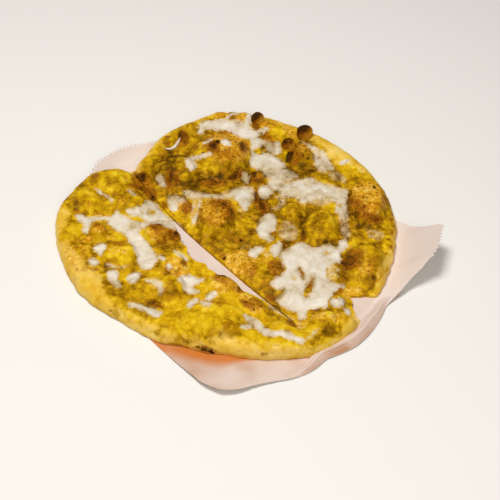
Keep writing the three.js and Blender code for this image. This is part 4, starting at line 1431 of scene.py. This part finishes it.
def bread_marks(mesh):
    """Notes at every vertex what covers the bread there."""
    x, y, z = (places_of(mesh) / MM).T
    inside = inside_rim(x, y)
    across, down = photo_place(x, y, z)
    note_dough(mesh, x, y, inside)
    beyond_cut = ((across - 130) * 0.69 - (down - 160) * 0.72) / 14
    note(mesh, "far", smoothstep(beyond_cut, 0, 1.6) * smoothstep(inside, 4, 30))
    # The back wall of the rim, which the photograph doesn't show, has no marks of its own.
    seen = 1 - smoothstep(-inside, 0.2, 0.9) * smoothstep(y, 10, 50)
    for name, depth, softness in DEPTH_MARKS:
        note(mesh, name, seen * np.clip(0.5 + depth(across, down) / softness, 0, 1))
    across = across + SPOT_WANDER * uneven(x, y, 5, 11)
    down = down + SPOT_WANDER * uneven(x, y, 5, 12)
    for name, spots in SPOTS.items():
        note(mesh, name, seen * strongest(across, down, spots))
    # Painted light: the rim's side wall, which faces down and away from the lamps, is lightened.
    wall = 0.6 * smoothstep(-inside, -1.5, 0.5)
    note(mesh, "bright", seen * np.maximum(strongest(across, down, BRIGHT_SPOTS), wall))
    # Painted shade: the finish darkens the hollows noted here.
    note(mesh, "hollow", np.clip(hollow(x, y) / 2, -0.3, 1))


def note_dough(mesh, x, y, inside):
    """Notes where the rim's dough is bare and where the cutter pressed the crumb."""
    bearing = np.degrees(np.arctan2(y, x))
    width = value_at(bearing, BARE_WIDTHS) * (1 + 0.35 * uneven(x, y, 12, 13))
    note(mesh, "bare", np.clip(0.5 + (width - inside) / BARE_SOFTNESS, 0, 1.3))
    band = smoothstep(-to_line(x, y, cut_line), -3.6, -2.0) * beyond(x, y, 0.0)
    note(mesh, "pressed", band * smoothstep(-x, 30, 42))


def make_bread(top_finish):
    bread = object_of("bread", bread_grid(), [top_finish])
    shape_bread(bread.data)
    cut_crumb = crumb_finish("cut_crumb", *CUT_CRUMB)
    torn_crumb = crumb_finish("torn_crumb", *TORN_CRUMB)
    cuts = (("blade", cut_outline(), cut_crumb), ("tear", tear_outline(), torn_crumb))
    for name, outline, crumb in cuts:
        block = upright_block(name, outline, BLOCK_BOTTOM, CUT_BLOCK_TOP, [crumb])
        combine(bread, block, "DIFFERENCE")
    bread_marks(bread.data)
    smooth_shaded(bread, sharp_above=50)
    return bread


def crease_of(place, index):
    """How far a burnt blister's skin stands out there, as a share of its radius."""
    crease = 1 + KNOB_FOLDS * noise.noise(place * 1.3 + Vector((index, 0, 0)))
    return crease + KNOB_CRACKS * noise.noise(place * 5 + Vector((0, index, 0)))


def knob_height(up, radius, rise):
    """How high a place of a burnt blister is: a round cap on a straight part."""
    if up <= 0:
        return KNOB_FOOT * up
    return radius * up + (rise + KNOB_SUNK - radius) * smoothstep(up, 0, 0.4)


def make_burnt_blisters(finish):
    """Small hard blisters like beads, narrower where they stand on the bread."""
    bm = bmesh.new()
    marks = []
    plan = np.array(KNOBS)
    bases = bread_top(plan[:, 0], plan[:, 1]) - KNOB_SUNK
    for index, (x, y, radius, rise, burnt) in enumerate(KNOBS):
        ball = bmesh.ops.create_icosphere(bm, subdivisions=4, radius=1)["verts"]
        for v in ball:
            crease = crease_of(v.co, index)
            waist = 1 - KNOB_WAIST * max(0.0, -v.co.z) if burnt > 0.6 else 1
            up = knob_height(v.co.z, radius, rise)
            lean = v.co.z - 0.4 * v.co.x
            v.co = Vector((
                x + v.co.x * radius * waist * crease,
                y + v.co.y * radius * waist * crease,
                bases[index] + up * (1 + 0.4 * (crease - 1)),
            ))
            marks.append((burnt, lean, crease))
    blisters = object_of("burnt_blisters", bm, [finish])
    in_metres(blisters)
    burnt, lean, crease = np.array(marks).T
    # Burnt tops, darker towards the left side as painted shade; brown lower down and golden at the
    # foot.
    dark = burnt * smoothstep(lean, 0.05, 0.9) * (1.05 + 3 * (crease - 1))
    toasted = burnt * smoothstep(lean, -0.1, 0.6)
    plain_marks(blisters.data, char=dark, brown=toasted, gold=0.8)
    blisters.data.shade_smooth()
    return blisters


def plain_marks(mesh, **marks):
    """The same marks as on the bread, all but the named ones left out."""
    for name in MARKS:
        value = marks.get(name, 0.0)
        note(mesh, name, np.broadcast_to(value, len(mesh.vertices)))


def make_cheese_shreds(finish):
    """Shreds that keep their round section: balls drawn out along their paths."""
    bm = bmesh.new()
    places = onto_bread([p for points, _ in CHEESE_SHREDS.values() for p in points])
    for points, half in CHEESE_SHREDS.values():
        path, places = places[: len(points)], places[len(points):]
        draw_shred(bm, path, half)
    shreds = object_of("cheese_shreds", bm, [finish])
    in_metres(shreds)
    plain_marks(shreds.data, chunk=0.7, cheese=0.9)
    smooth_shaded(shreds, sharp_above=80)
    return shreds


def draw_shred(bm, path, half):
    """One shred along its path, as thick as twice the given half width."""
    plan = smooth_line(path[:, :2], SHRED_STEPS)
    at = np.linspace(0, 1, SHRED_STEPS + 1)
    high = np.interp(at, np.linspace(0, 1, len(path)), path[:, 2])
    along = directions(plan)
    drawn = bmesh.ops.create_uvsphere(bm, u_segments=12, v_segments=22, radius=1)["verts"]
    for v in drawn:
        share = math.asin(max(-1, min(1, v.co.z))) / math.pi + 0.5
        swell = 1 + SHRED_SWELL * noise.noise(Vector((share * 5, half * 9, v.co.x)))
        side, up = v.co.x * half * swell, v.co.y * half * SHRED_FLATNESS * swell
        step = [np.interp(share, at, along[:, i]) for i in range(2)]
        v.co = Vector((
            np.interp(share, at, plan[:, 0]) + step[1] * side,
            np.interp(share, at, plan[:, 1]) - step[0] * side,
            np.interp(share, at, high) + up + 0.1 * half,
        ))


def paper_height(x, y):
    """The paper lies flat under the bread and curls up outside its rim."""
    bearing = np.arctan2(y, x)
    seat = np.maximum(rim_radius(bearing) + SEAT_MARGIN, SEAT_RADIUS)
    outside = np.maximum(0, np.hypot(x, y) - seat)
    slope = value_at(np.degrees(bearing), CURLS)
    return slope * outside**2 / (outside + CURL_START)


def pinked(points):
    """Saw teeth along a line, pointing to its right."""
    line = smooth_line(points, 400)
    teeth = round(line_length(line) / TOOTH_PITCH)
    halves = resampled(line, teeth * 2)
    along = directions(halves)
    out = np.stack([along[:, 1], -along[:, 0]], axis=1) * TOOTH_DEPTH
    places = halves.copy()
    places[1::2] += out[1::2]
    return places[:-1]


def paper_outline():
    return np.vstack([
        smooth_line(PAPER_TOP_EDGE, 18),
        pinked(PAPER_PINKED_LEFT),
        smooth_line(PAPER_LEFT_EDGE, 12),
        smooth_line(PAPER_FRONT_EDGE, 60),
        smooth_line(PAPER_FOLD_EDGE, 30),
        pinked(PAPER_PINKED_RIGHT),
    ])


def make_paper_sheet(finish):
    bm = bmesh.new()
    bmesh.ops.create_grid(bm, x_segments=PAPER_CELLS, y_segments=PAPER_CELLS, size=PAPER_REACH)
    sheet = object_of("paper_sheet", bm, [finish])
    x, y, _ = places_of(sheet.data).T
    z = paper_height(x, y) + PAPER_TOP
    move_places(sheet.data, np.stack([x, y, z], axis=1) * MM)
    thicken(sheet, PAPER_THICKNESS, -1)
    block = upright_block("outline", paper_outline(), BLOCK_BOTTOM, PAPER_BLOCK_TOP, [finish])
    combine(sheet, block, "INTERSECT")
    paper_marks(sheet.data)
    smooth_shaded(sheet, sharp_above=40)
    return sheet


def paper_marks(mesh):
    """Notes where the paper carries painted shadow and bounce light from the bread, and where
    painted tan shade lies on it.
    """
    x, y, z = (places_of(mesh) / MM).T
    across, down = photo_place(x, y, z)
    outside = -inside_rim(x, y)
    front = smoothstep(down, 318, 332)
    # Orange painted shadow and bounce light hugging the bread's front rim.
    reach = 2 + 13 * smoothstep(-across, -262, -205) + 4 * np.exp(-((across - 222) / 14) ** 2)
    note(mesh, "warm_shade", front * smoothstep(-outside, -reach, -0.3 * reach))
    # Painted tan shade below the bread's front rim, on the front flap, and where the paper shows
    # in the slit and notch.
    below = np.exp(-((across - 236) / 18) ** 2) * smoothstep(-outside, -16, -4)
    left = smoothstep(-across, -215, -190)
    base = 0.34 * smoothstep(-across, -330, -300)
    shown = front * np.minimum(base + 0.5 * below + 0.2 * left, 0.8)
    note(mesh, "tan", np.maximum(shown, 0.16 * smoothstep(-outside, -2, 3)))


def make_paper_folds(finish):
    """The folded edge: a strip bent into thin pleats that sink away at both ends."""
    bm = bmesh.new()
    bmesh.ops.create_grid(bm, x_segments=PLEAT_STEPS, y_segments=PLEAT_ROWS, size=1)
    strip = object_of("paper_folds", bm, [finish])
    u, v, _ = places_of(strip.data).T
    share = (u + 1) / 2
    path = smooth_line(PLEAT_EDGE, 200)
    along = directions(path)
    at = np.linspace(0, 1, len(path))
    edge = [np.interp(share, at, path[:, i]) for i in range(2)]
    ahead = [np.interp(share, at, along[:, i]) for i in range(2)]
    section = np.array(PLEAT_SECTION).T
    stops = section[0] / section[0][-1]
    wander = 0.05 * uneven(u * 60, v * 3, 14, 21)
    fold = (v + 1) / 2
    size = np.sin(math.pi * share) ** 0.6
    width = section[0][-1] * size
    x = edge[0] - ahead[1] * fold * width
    y = edge[1] + ahead[0] * fold * width
    bent = np.clip(fold + wander * np.sin(math.pi * fold), 0, 1)
    up = PLEAT_BASE + np.interp(bent, stops, section[1]) * size
    move_places(strip.data, np.stack([x, y, up], axis=1) * MM)
    note(strip.data, "warm_shade", np.zeros(x.shape))
    # Painted shade: tan in the pleats' creases and on their faces turned down.
    note(strip.data, "tan", np.interp(bent, stops, section[2]) * (0.1 + 0.9 * size))
    thicken(strip, PLEAT_THICKNESS, 0)
    smooth_shaded(strip, sharp_above=60)
    return strip


# Light, floor and camera


def aimed_at_part(place):
    """The turn of a lamp that shines from a place towards the part's origin."""
    return (-Vector(place)).to_track_quat("-Z", "Y").to_euler()


def soft_light(name, place, size, power, colour):
    data = bpy.data.lights.new(name, "AREA")
    data.size = size * MM
    data.energy = power
    data.color = colour
    lamp = in_scene(name, data)
    lamp.location = Vector(place) * MM
    lamp.rotation_euler = aimed_at_part(place)


def light_the_scene():
    for name, light in LIGHTS.items():
        soft_light(name, *light)
    world = bpy.data.worlds.new("room")
    world.use_nodes = True
    sky = world.node_tree.nodes["Background"]
    sky.inputs["Color"].default_value = (*ROOM_COLOUR, 1)
    sky.inputs["Strength"].default_value = ROOM_STRENGTH
    bpy.context.scene.world = world
    bpy.context.scene.view_settings.view_transform = "Standard"


def floor():
    bm = bmesh.new()
    bmesh.ops.create_grid(bm, x_segments=1, y_segments=1, size=FLOOR_REACH * MM)
    ground = object_of("floor", bm, [floor_finish()])
    ground.location.z = -FLOOR_DROP * MM


def floor_finish():
    f = Finish("pale_floor")
    f.set(Base_Color=FLOOR_PALE, Roughness=0.8)
    return f.material


def camera():
    data = bpy.data.cameras.new("photo_camera")
    data.lens = CAMERA_LENS
    data.sensor_width = CAMERA_SENSOR
    data.clip_end = CAMERA_REACH * MM
    eye = in_scene("photo_camera", data)
    eye.location = Vector(CAMERA_PLACE) * MM
    eye.rotation_euler = (math.radians(90 - CAMERA_TILT), 0, 0)
    bpy.context.scene.camera = eye


def settle_piece(piece):
    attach(piece, "root")


def main():
    camera()
    light_the_scene()
    floor()
    top = BreadFinish().material
    bread = make_bread(top)
    settle_piece(bread)
    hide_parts("naan")
    for topping in (make_burnt_blisters(top), make_cheese_shreds(top)):
        settle_piece(topping)
    paper = paper_finish()
    sheet = make_paper_sheet(paper)
    settle_piece(sheet)
    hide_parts("paper")
    settle_piece(make_paper_folds(paper))


main()
